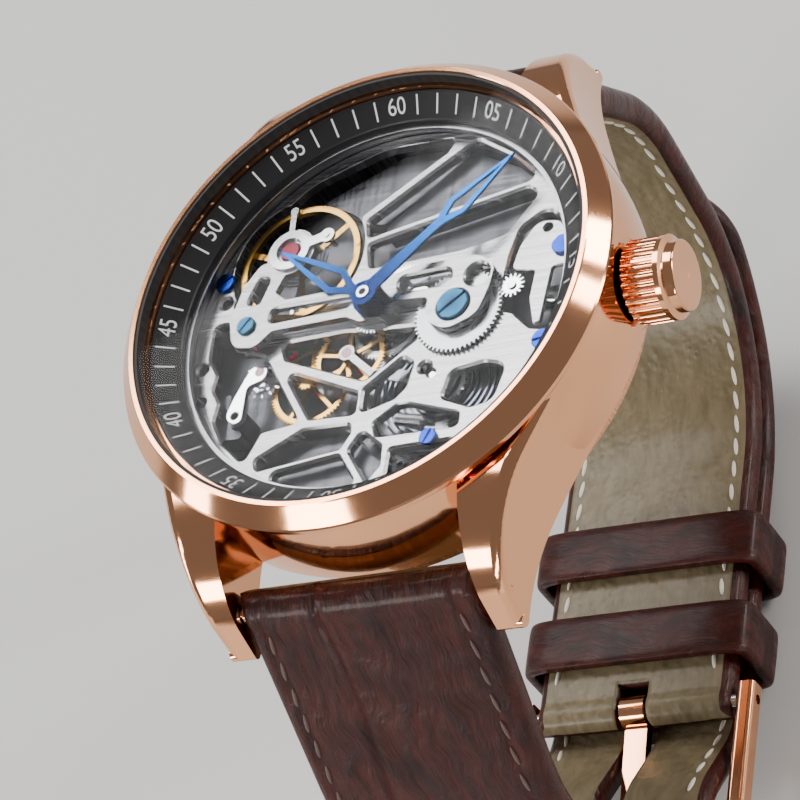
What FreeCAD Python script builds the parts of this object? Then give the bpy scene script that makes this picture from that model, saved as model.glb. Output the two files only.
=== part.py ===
import FreeCAD, Part

import math
import os

import Sketcher

# A skeleton automatic wristwatch on a closed leather strap, in millimetres.
# +Z leaves the dial, +Y points to 12 o'clock, +X to the crown at 3 o'clock.
# The origin is the centre of the case back's flat outer face.

V = FreeCAD.Vector
doc = FreeCAD.newDocument("Wristwatch")
sheet = doc.addObject("Spreadsheet::Sheet", "Sizes")

SIZES = {
    # case and glass
    "bezel_rad": 20.5,
    "bezel_seat_z": 9.0,
    "bezel_edge_z": 9.9,
    "bezel_top_z": 11.3,
    "crystal_rad": 18.5,
    "crystal_seat_z": 10.2,
    "crystal_top_z": 11.5,
    "gasket_wall": 0.25,
    "case_rad": 20.3,
    "case_bore_rad": 16.8,
    "case_foot_rad": 19.2,
    "case_foot_z": 1.2,
    "back_lip_rad": 12.4,
    "back_glass_rad": 13.1,
    "ring_inner_rad": 16.15,
    "ring_outer_rad": 18.15,
    "ring_base_z": 8.0,
    "lug_gap": 20.0,
    "lug_width": 2.7,
    "bar_y": 22.2,
    "bar_z": 2.6,
    "bar_rad": 0.75,
    # crown
    "stem_z": 5.0,
    "stem_rad": 0.45,
    "crown_rad": 3.15,
    "crown_start_x": 20.2,
    "crown_length": 4.1,
    "crown_pull": 1.0,
    # movement levels
    "plate_rad": 16.3,
    "plate_base_z": 5.9,
    "plate_top_z": 6.7,
    "bridge_base_z": 7.25,
    "bridge_top_z": 7.9,
    "rear_base_z": 3.2,
    "rear_top_z": 3.9,
    # strap and buckle
    "strap_width": 19.6,
    "strap_end_width": 18.0,
    "strap_thick": 2.6,
    "tail_thick": 2.2,
    "keeper_wall": 1.1,
    "keeper_width": 4.8,
    "buckle_bar_y": -9.0,
    "buckle_bar_z": -42.0,
    "buckle_reach": 13.0,
    "buckle_inner_width": 18.7,
    "buckle_side": 1.55,
    "tang_play": 0.22,
}
for row, (alias, value) in enumerate(SIZES.items(), start=1):
    sheet.set(f"A{row}", alias)
    sheet.set(f"B{row}", str(value))
    sheet.setAlias(f"B{row}", alias)
doc.recompute()


def size(alias):
    """The value of one cell of the sheet, in millimetres."""
    return float(getattr(sheet, alias))


def bound(expression):
    """The expression with each alias prefixed by the sheet's name."""
    for alias in sorted(SIZES, key=len, reverse=True):
        expression = expression.replace(alias, f"<{alias}>")
    return expression.replace("<", "Sizes.").replace(">", "")


def worth(expression):
    """The number that a sum of aliases and numbers such as 'bar_y + 2 - bar_rad' comes to."""
    total, sign = 0.0, 1.0
    for token in str(expression).replace("+", " + ").replace("-", " - ").split():
        if token == "+":
            continue
        if token == "-":
            sign = -sign
            continue
        factor = 1.0
        for piece in token.split("*"):
            factor *= size(piece) if piece in SIZES else float(piece)
        total += sign * factor
        sign = 1.0
    return total


# builders
outputs = []


def keep(obj, label):
    """Names the finished object, whose shape is written to parts/LABEL.step."""
    obj.Label = label
    outputs.append(obj)
    return obj


def plane_of(body, role):
    return [f for f in body.Origin.OriginFeatures if f.Role == role][0]


def bound_sketch(body, name, role, points):
    """A closed polygon whose corners are tied to the sheet; each corner is a pair of expressions."""
    sketch = body.newObject("Sketcher::SketchObject", name)
    sketch.AttachmentSupport = (plane_of(body, role), "")
    sketch.MapMode = "FlatFace"
    corners = [V(worth(a), worth(b), 0) for a, b in points]
    count = len(corners)
    for i in range(count):
        sketch.addGeometry(Part.LineSegment(corners[i], corners[(i + 1) % count]), False)
    for i in range(count):
        sketch.addConstraint(Sketcher.Constraint("Coincident", i, 2, (i + 1) % count, 1))
    for i, (a, b) in enumerate(points):
        for kind, expression, value in (("DistanceX", a, corners[i].x), ("DistanceY", b, corners[i].y)):
            index = sketch.addConstraint(Sketcher.Constraint(kind, -1, 1, i, 1, value))
            sketch.setExpression(f"Constraints[{index}]", bound(str(expression)))
    return sketch


def turned(label, points, keep_it=True):
    """A PartDesign body: a profile of (radius, height) corners revolved about the dial's axis."""
    body = doc.addObject("PartDesign::Body", label + "_body")
    sketch = bound_sketch(body, label + "_profile", "XZ_Plane", points)
    doc.recompute()
    turn = body.newObject("PartDesign::Revolution", label + "_turn")
    turn.Profile = sketch
    turn.ReferenceAxis = (sketch, ["V_Axis"])
    turn.Angle = 360
    doc.recompute()
    return keep(body, label) if keep_it else body


def cylinder(name, radius, height, place, axis=V(0, 0, 1)):
    """A Part cylinder with its radius and height tied to the sheet."""
    c = doc.addObject("Part::Cylinder", name)
    c.setExpression("Radius", bound(str(radius)))
    c.setExpression("Height", bound(str(height)))
    c.Placement = FreeCAD.Placement(V(*[worth(p) for p in place]), FreeCAD.Rotation(V(0, 0, 1), axis))
    return c


def box(name, length, width, height, corner):
    b = doc.addObject("Part::Box", name)
    b.setExpression("Length", bound(str(length)))
    b.setExpression("Width", bound(str(width)))
    b.setExpression("Height", bound(str(height)))
    b.Placement.Base = V(*[worth(p) for p in corner])
    return b


def cut(name, base, tool):
    c = doc.addObject("Part::Cut", name)
    c.Base, c.Tool = base, tool
    return c


def fuse(name, shapes):
    f = doc.addObject("Part::MultiFuse", name)
    f.Shapes = shapes
    return f


def feature(label, shape):
    """A Part::Feature for a shape that neither a body nor the primitives suit."""
    f = doc.addObject("Part::Feature", label + "_shape")
    f.Shape = shape
    return keep(f, label)


def disc(radius, low, high, x=0.0, y=0.0):
    return Part.makeCylinder(radius, high - low, V(x, y, low))


def tube(inner, outer, low, high, x=0.0, y=0.0):
    return disc(outer, low, high, x, y).cut(disc(inner, low - 1, high + 1, x, y))


def compound_fuse(shapes):
    """One shape of all the given ones."""
    first = shapes[0]
    return (first.multiFuse(shapes[1:]) if len(shapes) > 1 else first).removeSplitter()


def rounded_wire(points, radius, z=0.0):
    """A closed outline with each corner rounded by an arc of the given radius, smaller at short sides."""
    pts = [V(p[0], p[1], z) for p in points]
    count = len(pts)
    radii = [p[2] if len(p) > 2 else radius for p in points]
    edges, joints = [], []
    for i in range(count):
        a, b, c = pts[i - 1], pts[i], pts[(i + 1) % count]
        u, w = (a - b), (c - b)
        lu, lw = u.Length, w.Length
        u.normalize()
        w.normalize()
        half = u.getAngle(w) / 2
        back = min(radii[i] / math.tan(half), 0.45 * lu, 0.45 * lw)
        r = back * math.tan(half)
        bis = u + w
        if r < 1e-3 or bis.Length < 1e-6:
            joints.append((b, b, None))
            continue
        bis.normalize()
        centre = b + bis * (r / math.sin(half))
        joints.append((b + u * back, b + w * back, centre - bis * r))
    for i in range(count):
        start, end, mid = joints[i]
        if mid is not None:
            edges.append(Part.Arc(start, mid, end).toShape())
        following = joints[(i + 1) % count][0]
        if (following - end).Length > 1e-6:
            edges.append(Part.LineSegment(end, following).toShape())
    return Part.Wire(edges)


def plate_of(points, radius, low, high):
    face = Part.Face(rounded_wire(points, radius, low))
    return face.extrude(V(0, 0, high - low))


def top_wires(shape, top):
    """The outlines of the flat faces at the height top."""
    spans = [(f, f.BoundBox) for f in shape.Faces]
    return [w for f, b in spans if max(abs(b.ZMin - top), abs(b.ZMax - top)) < 1e-6 for w in f.Wires]


def bevelled(shape, top, width):
    """The shape with a bevel along each outline of its top face, as a hand-finished bridge has."""
    marks = [w.BoundBox.Center for w in top_wires(shape, top)]
    missed = 0
    for mark in marks:
        wire = min(top_wires(shape, top), key=lambda w: (w.BoundBox.Center - mark).Length)
        for w in (width, width * 0.6, width * 0.3):
            try:
                made = shape.makeChamfer(w, wire.Edges)
            except Part.OCCError:
                continue
            if made.isValid() and 0.5 * shape.Volume < made.Volume < shape.Volume:
                shape = made
                break
        else:
            missed += 1
    if missed:
        print("outlines left sharp at", top, ":", missed)
    return shape


def about(points, x, y, degrees):
    """Points turned about the origin and then moved to x, y."""
    c, s = math.cos(math.radians(degrees)), math.sin(math.radians(degrees))
    return [(x + p[0] * c - p[1] * s, y + p[0] * s + p[1] * c) + tuple(p[2:]) for p in points]


# gears
def gear_face(teeth, pitch_radius, start, low, addendum=0.8, dedendum=1.1, fill=0.42):
    """A toothed disc's face: trapezium teeth, the first one centred on the angle start, in degrees."""
    module = 2 * pitch_radius / teeth
    tip, root = pitch_radius + addendum * module, pitch_radius - dedendum * module
    pitch = 2 * math.pi / teeth
    shares = ((root, -0.62), (tip, -0.24), (tip, 0.24), (root, 0.62))
    points = []
    for i in range(teeth):
        centre = math.radians(start) + i * pitch
        for radius, share in shares:
            angle = centre + share * fill * pitch
            points.append(V(radius * math.cos(angle), radius * math.sin(angle), low))
    return Part.Face(Part.makePolygon(points + points[:1]))


def gear(teeth, pitch_radius, start, low, high, **shape):
    return gear_face(teeth, pitch_radius, start, low, **shape).extrude(V(0, 0, high - low))


def spoked(solid, hub, rim, spokes, width, low, high, start=0.0):
    """Cuts the windows between a wheel's hub, rim and spokes."""
    ring = tube(hub, rim, low - 0.1, high + 0.1)
    arms = [
        Part.makeBox(rim + 1, width, high - low + 0.4, V(0, -width / 2, low - 0.2)).rotate(
            V(0, 0, 0), V(0, 0, 1), start + 360.0 * i / spokes
        )
        for i in range(spokes)
    ]
    for arm in arms:
        ring = ring.cut(arm)
    return solid.cut(ring)


def at(shape, x, y):
    moved = shape.copy()
    moved.translate(V(x, y, 0))
    return moved


def bearing_of(x1, y1, x2, y2):
    return math.degrees(math.atan2(y2 - y1, x2 - x1))


def step_to(x, y, reach, angle):
    """The point at a distance and an angle, in degrees, from x, y."""
    return x + reach * math.cos(math.radians(angle)), y + reach * math.sin(math.radians(angle))


MESH_GAP = 0.03  # added to the pitch radii of each gear pair
# tooth counts of the going train, the motion work and the winding work
TEETH = {
    "barrel": 72, "centre_pinion": 16, "centre_wheel": 64, "third_pinion": 12,
    "third_wheel": 60, "fourth_pinion": 16, "fourth_wheel": 68, "escape_pinion": 14,
    "cannon": 12, "minute_wheel": 36, "minute_pinion": 10, "hour_wheel": 40,
    "crown_wheel_upper": 57, "transfer": 15, "crown_wheel_lower": 35, "ratchet": 30,
}
BARREL_MODULE, TRAIN_MODULE, THIRD_MODULE, FOURTH_MODULE = 0.1835, 0.1025, 0.0987, 0.1
MOTION_MODULE, WINDING_MODULE, RATCHET_MODULE = 0.108, 0.1235, 0.16


def pitch(name, module):
    return TEETH[name] * module / 2


barrel_reach = pitch("barrel", BARREL_MODULE) + pitch("centre_pinion", BARREL_MODULE) + MESH_GAP
BARREL = step_to(0, 0, barrel_reach, -50.0)
third_reach = pitch("centre_wheel", TRAIN_MODULE) + pitch("third_pinion", TRAIN_MODULE) + MESH_GAP
THIRD = step_to(0, 0, third_reach, -132.0)
fourth_reach = pitch("third_wheel", THIRD_MODULE) + pitch("fourth_pinion", THIRD_MODULE) + MESH_GAP
FOURTH = step_to(*THIRD, fourth_reach, 204.5)
escape_reach = pitch("fourth_wheel", FOURTH_MODULE) + pitch("escape_pinion", FOURTH_MODULE) + MESH_GAP
ESCAPE = step_to(*FOURTH, escape_reach, 165.0)
motion_reach = pitch("cannon", MOTION_MODULE) + pitch("minute_wheel", MOTION_MODULE) + MESH_GAP
MINUTE_WHEEL = step_to(0, 0, motion_reach, 42.0)
ratchet_reach = pitch("crown_wheel_lower", RATCHET_MODULE) + pitch("ratchet", RATCHET_MODULE) + MESH_GAP
CROWN_WHEEL = step_to(*BARREL, ratchet_reach, 71.0)
transfer_reach = pitch("crown_wheel_upper", WINDING_MODULE) + pitch("transfer", WINDING_MODULE) + MESH_GAP
TRANSFER = step_to(*CROWN_WHEEL, transfer_reach, 19.0)
BALANCE = (-8.2, 6.2)
FORK = (-9.0, -0.55)
LEFT_BOSS = (-10.95, -0.15)

def gap_start(teeth, angle):
    """The first tooth's angle that leaves a gap facing the given angle."""
    return angle + 180.0 / teeth


# case
def crest(edge, least_x):
    """Whether an edge of a lug runs down its outer top corner."""
    middle, extent = edge.CenterOfMass, edge.BoundBox
    outside = middle.x > least_x and middle.y > 12 and middle.z > 1.5
    return outside and extent.XLength < 6 and extent.YLength > 0.5


def lug():
    """The lug at +X, +Y: what a plan outline and a side outline share, with its outer top corner rounded."""
    gap, wide = size("lug_gap") / 2, size("lug_width")
    plan = Part.Wire([
        Part.LineSegment(V(gap, 6.2, -2), V(gap, 26, -2)).toShape(),
        Part.LineSegment(V(gap, 26, -2), V(gap + wide - 0.95, 26, -2)).toShape(),
        Part.Arc(V(gap + wide - 0.95, 26, -2), V(gap + wide + 1.45, 17.4, -2), V(18.9, 6.2, -2)).toShape(),
        Part.LineSegment(V(18.9, 6.2, -2), V(gap, 6.2, -2)).toShape(),
    ])
    plan_solid = Part.Face(plan).extrude(V(0, 0, 14))
    top, foot = size("bezel_seat_z"), size("case_foot_z")
    side = Part.Wire([
        Part.LineSegment(V(0, 7, top - 0.05), V(0, 15.5, top - 0.05)).toShape(),
        Part.Arc(V(0, 15.5, top - 0.05), V(0, 20.9, 7.0), V(0, 23.7, 3.4)).toShape(),
        Part.LineSegment(V(0, 23.7, 3.4), V(0, 24.6, 0.35)).toShape(),
        Part.Arc(V(0, 24.6, 0.35), V(0, 24.45, -0.25), V(0, 23.8, -0.2)).toShape(),
        Part.Arc(V(0, 23.8, -0.2), V(0, 20.6, 1.1), V(0, 17.0, foot + 0.35)).toShape(),
        Part.LineSegment(V(0, 17.0, foot + 0.35), V(0, 7, foot + 0.35)).toShape(),
        Part.LineSegment(V(0, 7, foot + 0.35), V(0, 7, top - 0.05)).toShape(),
    ])
    horn = plan_solid.common(Part.Face(side).extrude(V(22, 0, 0)))
    outer_top = [e for e in horn.Edges if crest(e, gap + 1.0)]
    return horn.makeFillet(0.9, outer_top)


def case_body():
    """The middle case: a bulged ring with four lugs, its bore, the crown's notch and the bar holes."""
    out, bore = size("case_rad"), size("case_bore_rad")
    foot_r, foot_z, top = size("case_foot_rad"), size("case_foot_z"), size("bezel_seat_z")
    profile = Part.Wire([
        Part.LineSegment(V(10, 0, foot_z), V(foot_r, 0, foot_z)).toShape(),
        Part.LineSegment(V(foot_r, 0, foot_z), V(foot_r + 0.9, 0, foot_z + 1.0)).toShape(),
        Part.Arc(V(foot_r + 0.9, 0, foot_z + 1.0), V(out, 0, 5.2), V(out - 0.45, 0, top - 0.35)).toShape(),
        Part.LineSegment(V(out - 0.45, 0, top - 0.35), V(out - 0.75, 0, top)).toShape(),
        Part.LineSegment(V(out - 0.75, 0, top), V(10, 0, top)).toShape(),
        Part.LineSegment(V(10, 0, top), V(10, 0, foot_z)).toShape(),
    ])
    ring = Part.Face(profile).revolve(V(0, 0, 0), V(0, 0, 1), 360)
    one = lug()
    lugs = [one]
    lugs.append(one.mirror(V(0, 0, 0), V(1, 0, 0)))
    lugs += [each.mirror(V(0, 0, 0), V(0, 1, 0)) for each in list(lugs)]
    body = ring.multiFuse(lugs)
    body = body.cut(disc(bore, 0, size("ring_base_z")))
    body = body.cut(disc(size("ring_outer_rad"), size("ring_base_z"), 12))
    body = body.cut(tube(bore, bore + 0.45, foot_z - 0.1, foot_z + 0.4))
    for side in (-1, 1):
        bar_end = V(-11.6, side * size("bar_y"), size("bar_z"))
        body = body.cut(Part.makeCylinder(0.42, 23.2, bar_end, V(1, 0, 0)))
    body = body.cut(Part.makeCylinder(1.1, 8, V(15, 0, size("stem_z")), V(1, 0, 0)))
    crown_seat = V(size("crown_start_x") - 0.25, 0, size("stem_z"))
    body = body.cut(Part.makeCylinder(size("crown_rad") + 0.25, 4, crown_seat, V(1, 0, 0)))
    return body.removeSplitter()


feature("case_middle", case_body())

turned("bezel", [
    ("ring_outer_rad + 0.05", "bezel_seat_z"), ("bezel_rad - 0.9", "bezel_seat_z"),
    ("bezel_rad - 0.9", "bezel_seat_z + 0.25"), ("bezel_rad - 0.15", "bezel_seat_z + 0.3"),
    ("bezel_rad", "bezel_seat_z + 0.45"), ("bezel_rad", "bezel_edge_z - 0.1"),
    ("bezel_rad - 0.1", "bezel_edge_z + 0.05"), ("bezel_rad - 1.25", "bezel_top_z - 0.1"),
    ("bezel_rad - 1.35", "bezel_top_z"), ("crystal_rad + gasket_wall + 0.05", "bezel_top_z"),
    ("crystal_rad + gasket_wall", "bezel_top_z - 0.05"), ("crystal_rad + gasket_wall", "crystal_seat_z"),
    ("ring_outer_rad + 0.05", "crystal_seat_z"),
])
turned("crystal_gasket", [
    ("crystal_rad", "crystal_seat_z"), ("crystal_rad + gasket_wall", "crystal_seat_z"),
    ("crystal_rad + gasket_wall", "bezel_top_z - 0.15"), ("crystal_rad", "bezel_top_z - 0.15"),
])
turned("crystal", [
    ("0", "crystal_seat_z"), ("crystal_rad", "crystal_seat_z"), ("crystal_rad", "crystal_top_z - 0.3"),
    ("crystal_rad - 0.3", "crystal_top_z"), ("0", "crystal_top_z"),
])
turned("chapter_ring", [
    ("ring_inner_rad", "ring_base_z"), ("ring_outer_rad", "ring_base_z"),
    ("ring_outer_rad", "bezel_seat_z + 0.75"), ("ring_outer_rad - 0.15", "bezel_seat_z + 0.75"),
    ("ring_inner_rad + 0.1", "ring_base_z + 0.62"), ("ring_inner_rad", "ring_base_z + 0.5"),
])
back_ring = turned("case_back_turned", [
    ("back_lip_rad", "0"), ("case_foot_rad - 0.6", "0"), ("case_foot_rad", "0.5"),
    ("case_foot_rad", "case_foot_z"), ("case_bore_rad - 0.1", "case_foot_z"),
    ("case_bore_rad - 0.1", "case_foot_z + 0.8"), ("case_bore_rad - 0.7", "case_foot_z + 0.8"),
    ("case_bore_rad - 0.7", "case_foot_z"), ("back_glass_rad", "case_foot_z"),
    ("back_glass_rad", "case_foot_z - 0.7"), ("back_lip_rad", "case_foot_z - 0.7"),
], keep_it=False)
notches = [
    box(f"back_notch_{i}", 1.4, 2.2, 0.5, ("15.6", "-1.1", "-0.1")) for i in range(6)
]
for i, notch in enumerate(notches):
    swing = FreeCAD.Placement(V(0, 0, 0), FreeCAD.Rotation(V(0, 0, 1), 30 + 60 * i))
    notch.Placement = swing.multiply(notch.Placement)
doc.recompute()
keep(cut("case_back_cut", back_ring, fuse("back_notches", notches)), "case_back")
turned("case_back_glass", [
    ("0", "case_foot_z - 0.7"), ("back_glass_rad", "case_foot_z - 0.7"),
    ("back_glass_rad", "case_foot_z"), ("0", "case_foot_z"),
])
turned("case_back_gasket", [
    ("case_bore_rad + 0.05", "case_foot_z"), ("case_bore_rad + 0.4", "case_foot_z"),
    ("case_bore_rad + 0.4", "case_foot_z + 0.35"), ("case_bore_rad + 0.05", "case_foot_z + 0.35"),
])
holder = turned("movement_holder_turned", [
    ("plate_rad + 0.05", "2.2"), ("case_bore_rad", "2.2"), ("case_bore_rad", "ring_base_z"),
    ("ring_inner_rad - 0.35", "ring_base_z"), ("ring_inner_rad - 0.35", "ring_base_z - 0.25"),
    ("plate_rad + 0.05", "ring_base_z - 0.3"),
], keep_it=False)
stem_hole = cylinder("holder_stem_hole", "0.8", "6", ("14", "0", "stem_z"), V(1, 0, 0))
keep(cut("movement_holder_cut", holder, stem_hole), "movement_holder")

# spring bars: a body with a thinner tip at each end
for name, side in (("spring_bar_12", 1), ("spring_bar_6", -1)):
    y = f"{'-' if side < 0 else ''}bar_y"
    tube_start, tip_start = ("-0.5*lug_gap + 0.15", y, "bar_z"), ("-0.5*lug_gap - 1.5", y, "bar_z")
    bar = cylinder(name + "_tube", "bar_rad", "lug_gap - 0.3", tube_start, V(1, 0, 0))
    tips = cylinder(name + "_tips", "0.4", "lug_gap + 3.0", tip_start, V(1, 0, 0))
    keep(fuse(name + "_fused", [bar, tips]), name)

# crown
FLUTES = 28


def crown_shape():
    """A fluted crown with a smooth domed cap, bored for its tube."""
    start, length, rad = size("crown_start_x"), size("crown_length"), size("crown_rad")
    z = size("stem_z")
    end = start + length
    profile = Part.Wire([
        Part.LineSegment(V(start, 0, 0), V(start, rad - 0.35, 0)).toShape(),
        Part.LineSegment(V(start, rad - 0.35, 0), V(start + 0.3, rad, 0)).toShape(),
        Part.LineSegment(V(start + 0.3, rad, 0), V(end - 0.95, rad, 0)).toShape(),
        Part.LineSegment(V(end - 0.95, rad, 0), V(end - 0.75, rad - 0.45, 0)).toShape(),
        Part.LineSegment(V(end - 0.75, rad - 0.45, 0), V(end - 0.2, rad - 0.5, 0)).toShape(),
        Part.Arc(V(end - 0.2, rad - 0.5, 0), V(end - 0.06, rad - 0.56, 0), V(end, rad - 0.75, 0)).toShape(),
        Part.LineSegment(V(end, rad - 0.75, 0), V(end + 0.06, 0, 0)).toShape(),
        Part.LineSegment(V(end + 0.06, 0, 0), V(start, 0, 0)).toShape(),
    ])
    body = Part.Face(profile).revolve(V(0, 0, 0), V(1, 0, 0), 360)
    flute = Part.makeCylinder(0.27, length - 1.15, V(start - 0.2, 0, rad + 0.06), V(1, 0, 0))
    cutters = [
        flute.copy().rotate(V(0, 0, 0), V(1, 0, 0), 360.0 * i / FLUTES) for i in range(FLUTES)
    ]
    body = body.cut(Part.makeCompound(cutters))
    body = body.cut(Part.makeCylinder(1.45, 2.75, V(start - 0.1, 0, 0), V(1, 0, 0)))
    body = body.cut(Part.makeCylinder(size("stem_rad"), 3.55, V(start - 0.1, 0, 0), V(1, 0, 0)))
    body.translate(V(0, 0, z))
    return body


feature("crown", crown_shape())
feature("crown_tube", Part.makeCylinder(1.1, 5.0, V(16.8, 0, size("stem_z")), V(1, 0, 0)).cut(
    Part.makeCylinder(0.6, 7.0, V(15, 0, size("stem_z")), V(1, 0, 0))).common(
    Part.makeCylinder(1.1, 6.0, V(16.85, 0, size("stem_z")), V(1, 0, 0))))
feature("crown_gasket", Part.makeCylinder(1.43, 0.45, V(22.35, 0, size("stem_z")), V(1, 0, 0)).cut(
    Part.makeCylinder(0.55, 3.0, V(21.5, 0, size("stem_z")), V(1, 0, 0))))
stem_length = size("crown_start_x") + 3.4 - 12.6
stem = Part.makeCylinder(size("stem_rad"), stem_length, V(12.6, 0, size("stem_z")), V(1, 0, 0))
feature("winding_stem", stem)


def stem_pinion():
    """The sliding pinion: face teeth towards the centre and a waist for its lever."""
    face = gear(16, 0.9, 0, 0, 0.55)
    waist = disc(0.6, 0.5, 0.9)
    collar = disc(0.85, 0.9, 1.3)
    whole = compound_fuse([face, waist, collar])
    whole.rotate(V(0, 0, 0), V(0, 1, 0), 90)
    whole.translate(V(12.7, 0, size("stem_z")))
    return whole.cut(stem)


feature("sliding_pinion", stem_pinion())

# movement plates
PLATE_BASE, PLATE_TOP = size("plate_base_z"), size("plate_top_z")
BRIDGE_BASE, BRIDGE_TOP = size("bridge_base_z"), size("bridge_top_z")
REAR_BASE, REAR_TOP = size("rear_base_z"), size("rear_top_z")
# windows cut through the main plate, as outlines with rounded corners
WINDOWS = [
    # upper left field behind the balance
    [(-13.3, 6.4, 0.6), (-13.0, 8.7, 3), (-8.2, 13.2, 6), (-2.0, 15.4, 6), (4.4, 15.3, 0.5), (3.6, 13.9),
     (-3.1, 9.35),
     (-2.8, 6.4), (-4.2, 4.2)],
    # upper right field between the two slanting bars
    [(6.1, 14.7, 0.4), (-2.5, 8.8), (-2.2, 7.25), (11.9, 10.1, 0.5), (9.4, 12.5, 1.5)],
    # field under the second bar
    [(-2.1, 6.55), (11.2, 9.3, 0.6), (12.0, 8.5, 0.5), (9.7, 5.3, 1.0), (6.0, 4.6), (-1.6, 4.35)],
    # keyless bay at 3 o'clock
    [(10.45, 3.2, 1.2), (11.0, 5.6, 1.2), (13.2, 7.1, 1.2), (14.9, 5.0, 0.8), (15.3, 0.0, 3),
     (14.7, -3.9, 0.5), (12.9, -3.5),
     (11.3, -1.9, 0.6), (10.0, -1.5)],
    # window over the third wheel
    [(-8.3, -1.35, 0.5), (-3.0, -1.2), (0.0, -1.5, 0.5), (3.4, -1.7, 0.4), (3.5, -2.9, 0.4),
     (-0.4, -5.9, 0.5), (-7.7, -2.9)],
    # triangle over the fourth wheel
    [(-7.7, -3.9, 0.4), (-0.9, -6.9, 0.3), (-0.85, -8.75, 0.3), (-4.7, -8.6, 0.3)],
    # tall bay on the left
    [(-14.7, 1.4, 0.6), (-13.2, 1.2), (-12.6, -1.3, 0.7), (-9.7, -2.3, 0.6), (-5.7, -8.7, 0.3),
     (-8.8, -9.1, 0.3),
     (-9.9, -11.6, 0.4), (-12.2, -9.6), (-13.2, -7.4, 0.8), (-13.0, -5.9), (-13.8, -4.6, 0.8),
     (-13.6, -3.3), (-14.6, -1.8)],
    # four fields at the bottom
    [(-8.9, -11.6, 0.4), (-5.0, -9.5, 0.3), (-1.1, -9.6, 0.3), (-0.95, -10.4), (-1.6, -11.6, 0.3),
     (-8.5, -12.5, 0.3)],
    [(-8.6, -13.1, 0.5), (-1.6, -12.2, 0.3), (0.2, -14.9, 0.3), (-4.6, -14.7, 2)],
    [(-0.8, -11.9), (0.1, -10.4, 0.4), (1.9, -11.9, 0.3), (2.0, -13.6), (1.1, -14.8, 0.2)],
    [(2.7, -12.3, 0.3), (8.4, -12.2, 0.3), (6.1, -14.0), (2.7, -14.9, 0.4)],
    # window over the click spring
    [(0.9, -9.8), (2.7, -8.5), (3.6, -8.5), (8.1, -10.0), (8.1, -11.2, 0.4), (1.3, -11.1, 0.4)],
    # two windows over the mainspring
    [(-0.3, -8.7), (-0.35, -6.7), (2.6, -4.35, 0.5), (3.5, -5.0), (3.2, -7.0), (2.4, -7.9)],
    [(6.4, -8.5, 0.5), (6.9, -6.3, 0.8), (9.6, -5.9, 0.8), (11.3, -6.4, 0.8), (10.6, -9.3, 1.0),
     (8.9, -9.6, 0.5)],
]
BOSS_HOLES = [(-15.1, -2.6, 0.45), (-14.6, -5.6, 0.5), (-14.1, 3.3, 0.5), (-12.6, 3.0, 0.75),
              (4.6, -5.6, 0.5),
              (8.6, 1.1, 1.05), (12.6, -10.0, 0.35), (-11.2, -12.6, 0.3), (-6.3, 1.2, 0.4)]
PLATE_SCREWS = [(-14.45, 5.1), (15.0, 3.0), (14.2, -4.9), (5.9, -11.9)]


def finger(x, y, angle, reach, wide, low, high, pad):
    """A narrow arm from a centre with a round pad at its end."""
    arm = Part.makeBox(reach, wide, high - low, V(0, -wide / 2, low))
    end = disc(pad, low, high, reach, 0)
    whole = arm.fuse(end)
    whole.rotate(V(0, 0, 0), V(0, 0, 1), angle)
    whole.translate(V(x, y, 0))
    return whole


def main_plate():
    body = disc(size("plate_rad"), PLATE_BASE, PLATE_TOP)
    windows = [plate_of(w, 0.35, PLATE_BASE - 1, PLATE_TOP + 1) for w in WINDOWS]
    holes = [disc(r, PLATE_BASE - 1, PLATE_TOP + 1, x, y) for x, y, r in BOSS_HOLES]
    holes.append(disc(5.75, PLATE_BASE - 1, PLATE_TOP + 1, *BALANCE))
    holes.append(disc(1.05, PLATE_BASE - 1, PLATE_TOP + 1, *CROWN_WHEEL))
    holes.append(disc(0.34, PLATE_BASE - 1, PLATE_TOP + 1))
    body = body.cut(Part.makeCompound(windows))
    for hole in holes:
        body = body.cut(hole)
    body = body.removeSplitter()
    solids = sorted(body.Solids, key=lambda s: -s.Volume)
    body = bevelled(solids[0], PLATE_TOP, 0.2)
    body = body.cut(tube(15.45, 15.65, PLATE_TOP - 0.07, PLATE_TOP + 1))
    arm = finger(*THIRD, bearing_of(*THIRD, 0.4, -5.6), 3.6, 0.55, PLATE_BASE, PLATE_BASE + 0.45, 0.3)
    arm = arm.fuse(disc(0.66, PLATE_BASE, PLATE_BASE + 0.45, *THIRD))
    body = body.fuse(arm.common(disc(3.4, 5, 8, *THIRD)))
    body = body.removeSplitter().cut(disc(0.42, PLATE_BASE - 1, PLATE_TOP + 1, *THIRD))
    for x, y in PLATE_SCREWS:
        body = body.cut(disc(0.32, PLATE_BASE - 1, PLATE_TOP + 1, x, y))
    return body.cut(disc(0.45, PLATE_BASE - 1, PLATE_TOP + 1, *BARREL))


feature("main_plate", main_plate())


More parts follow.
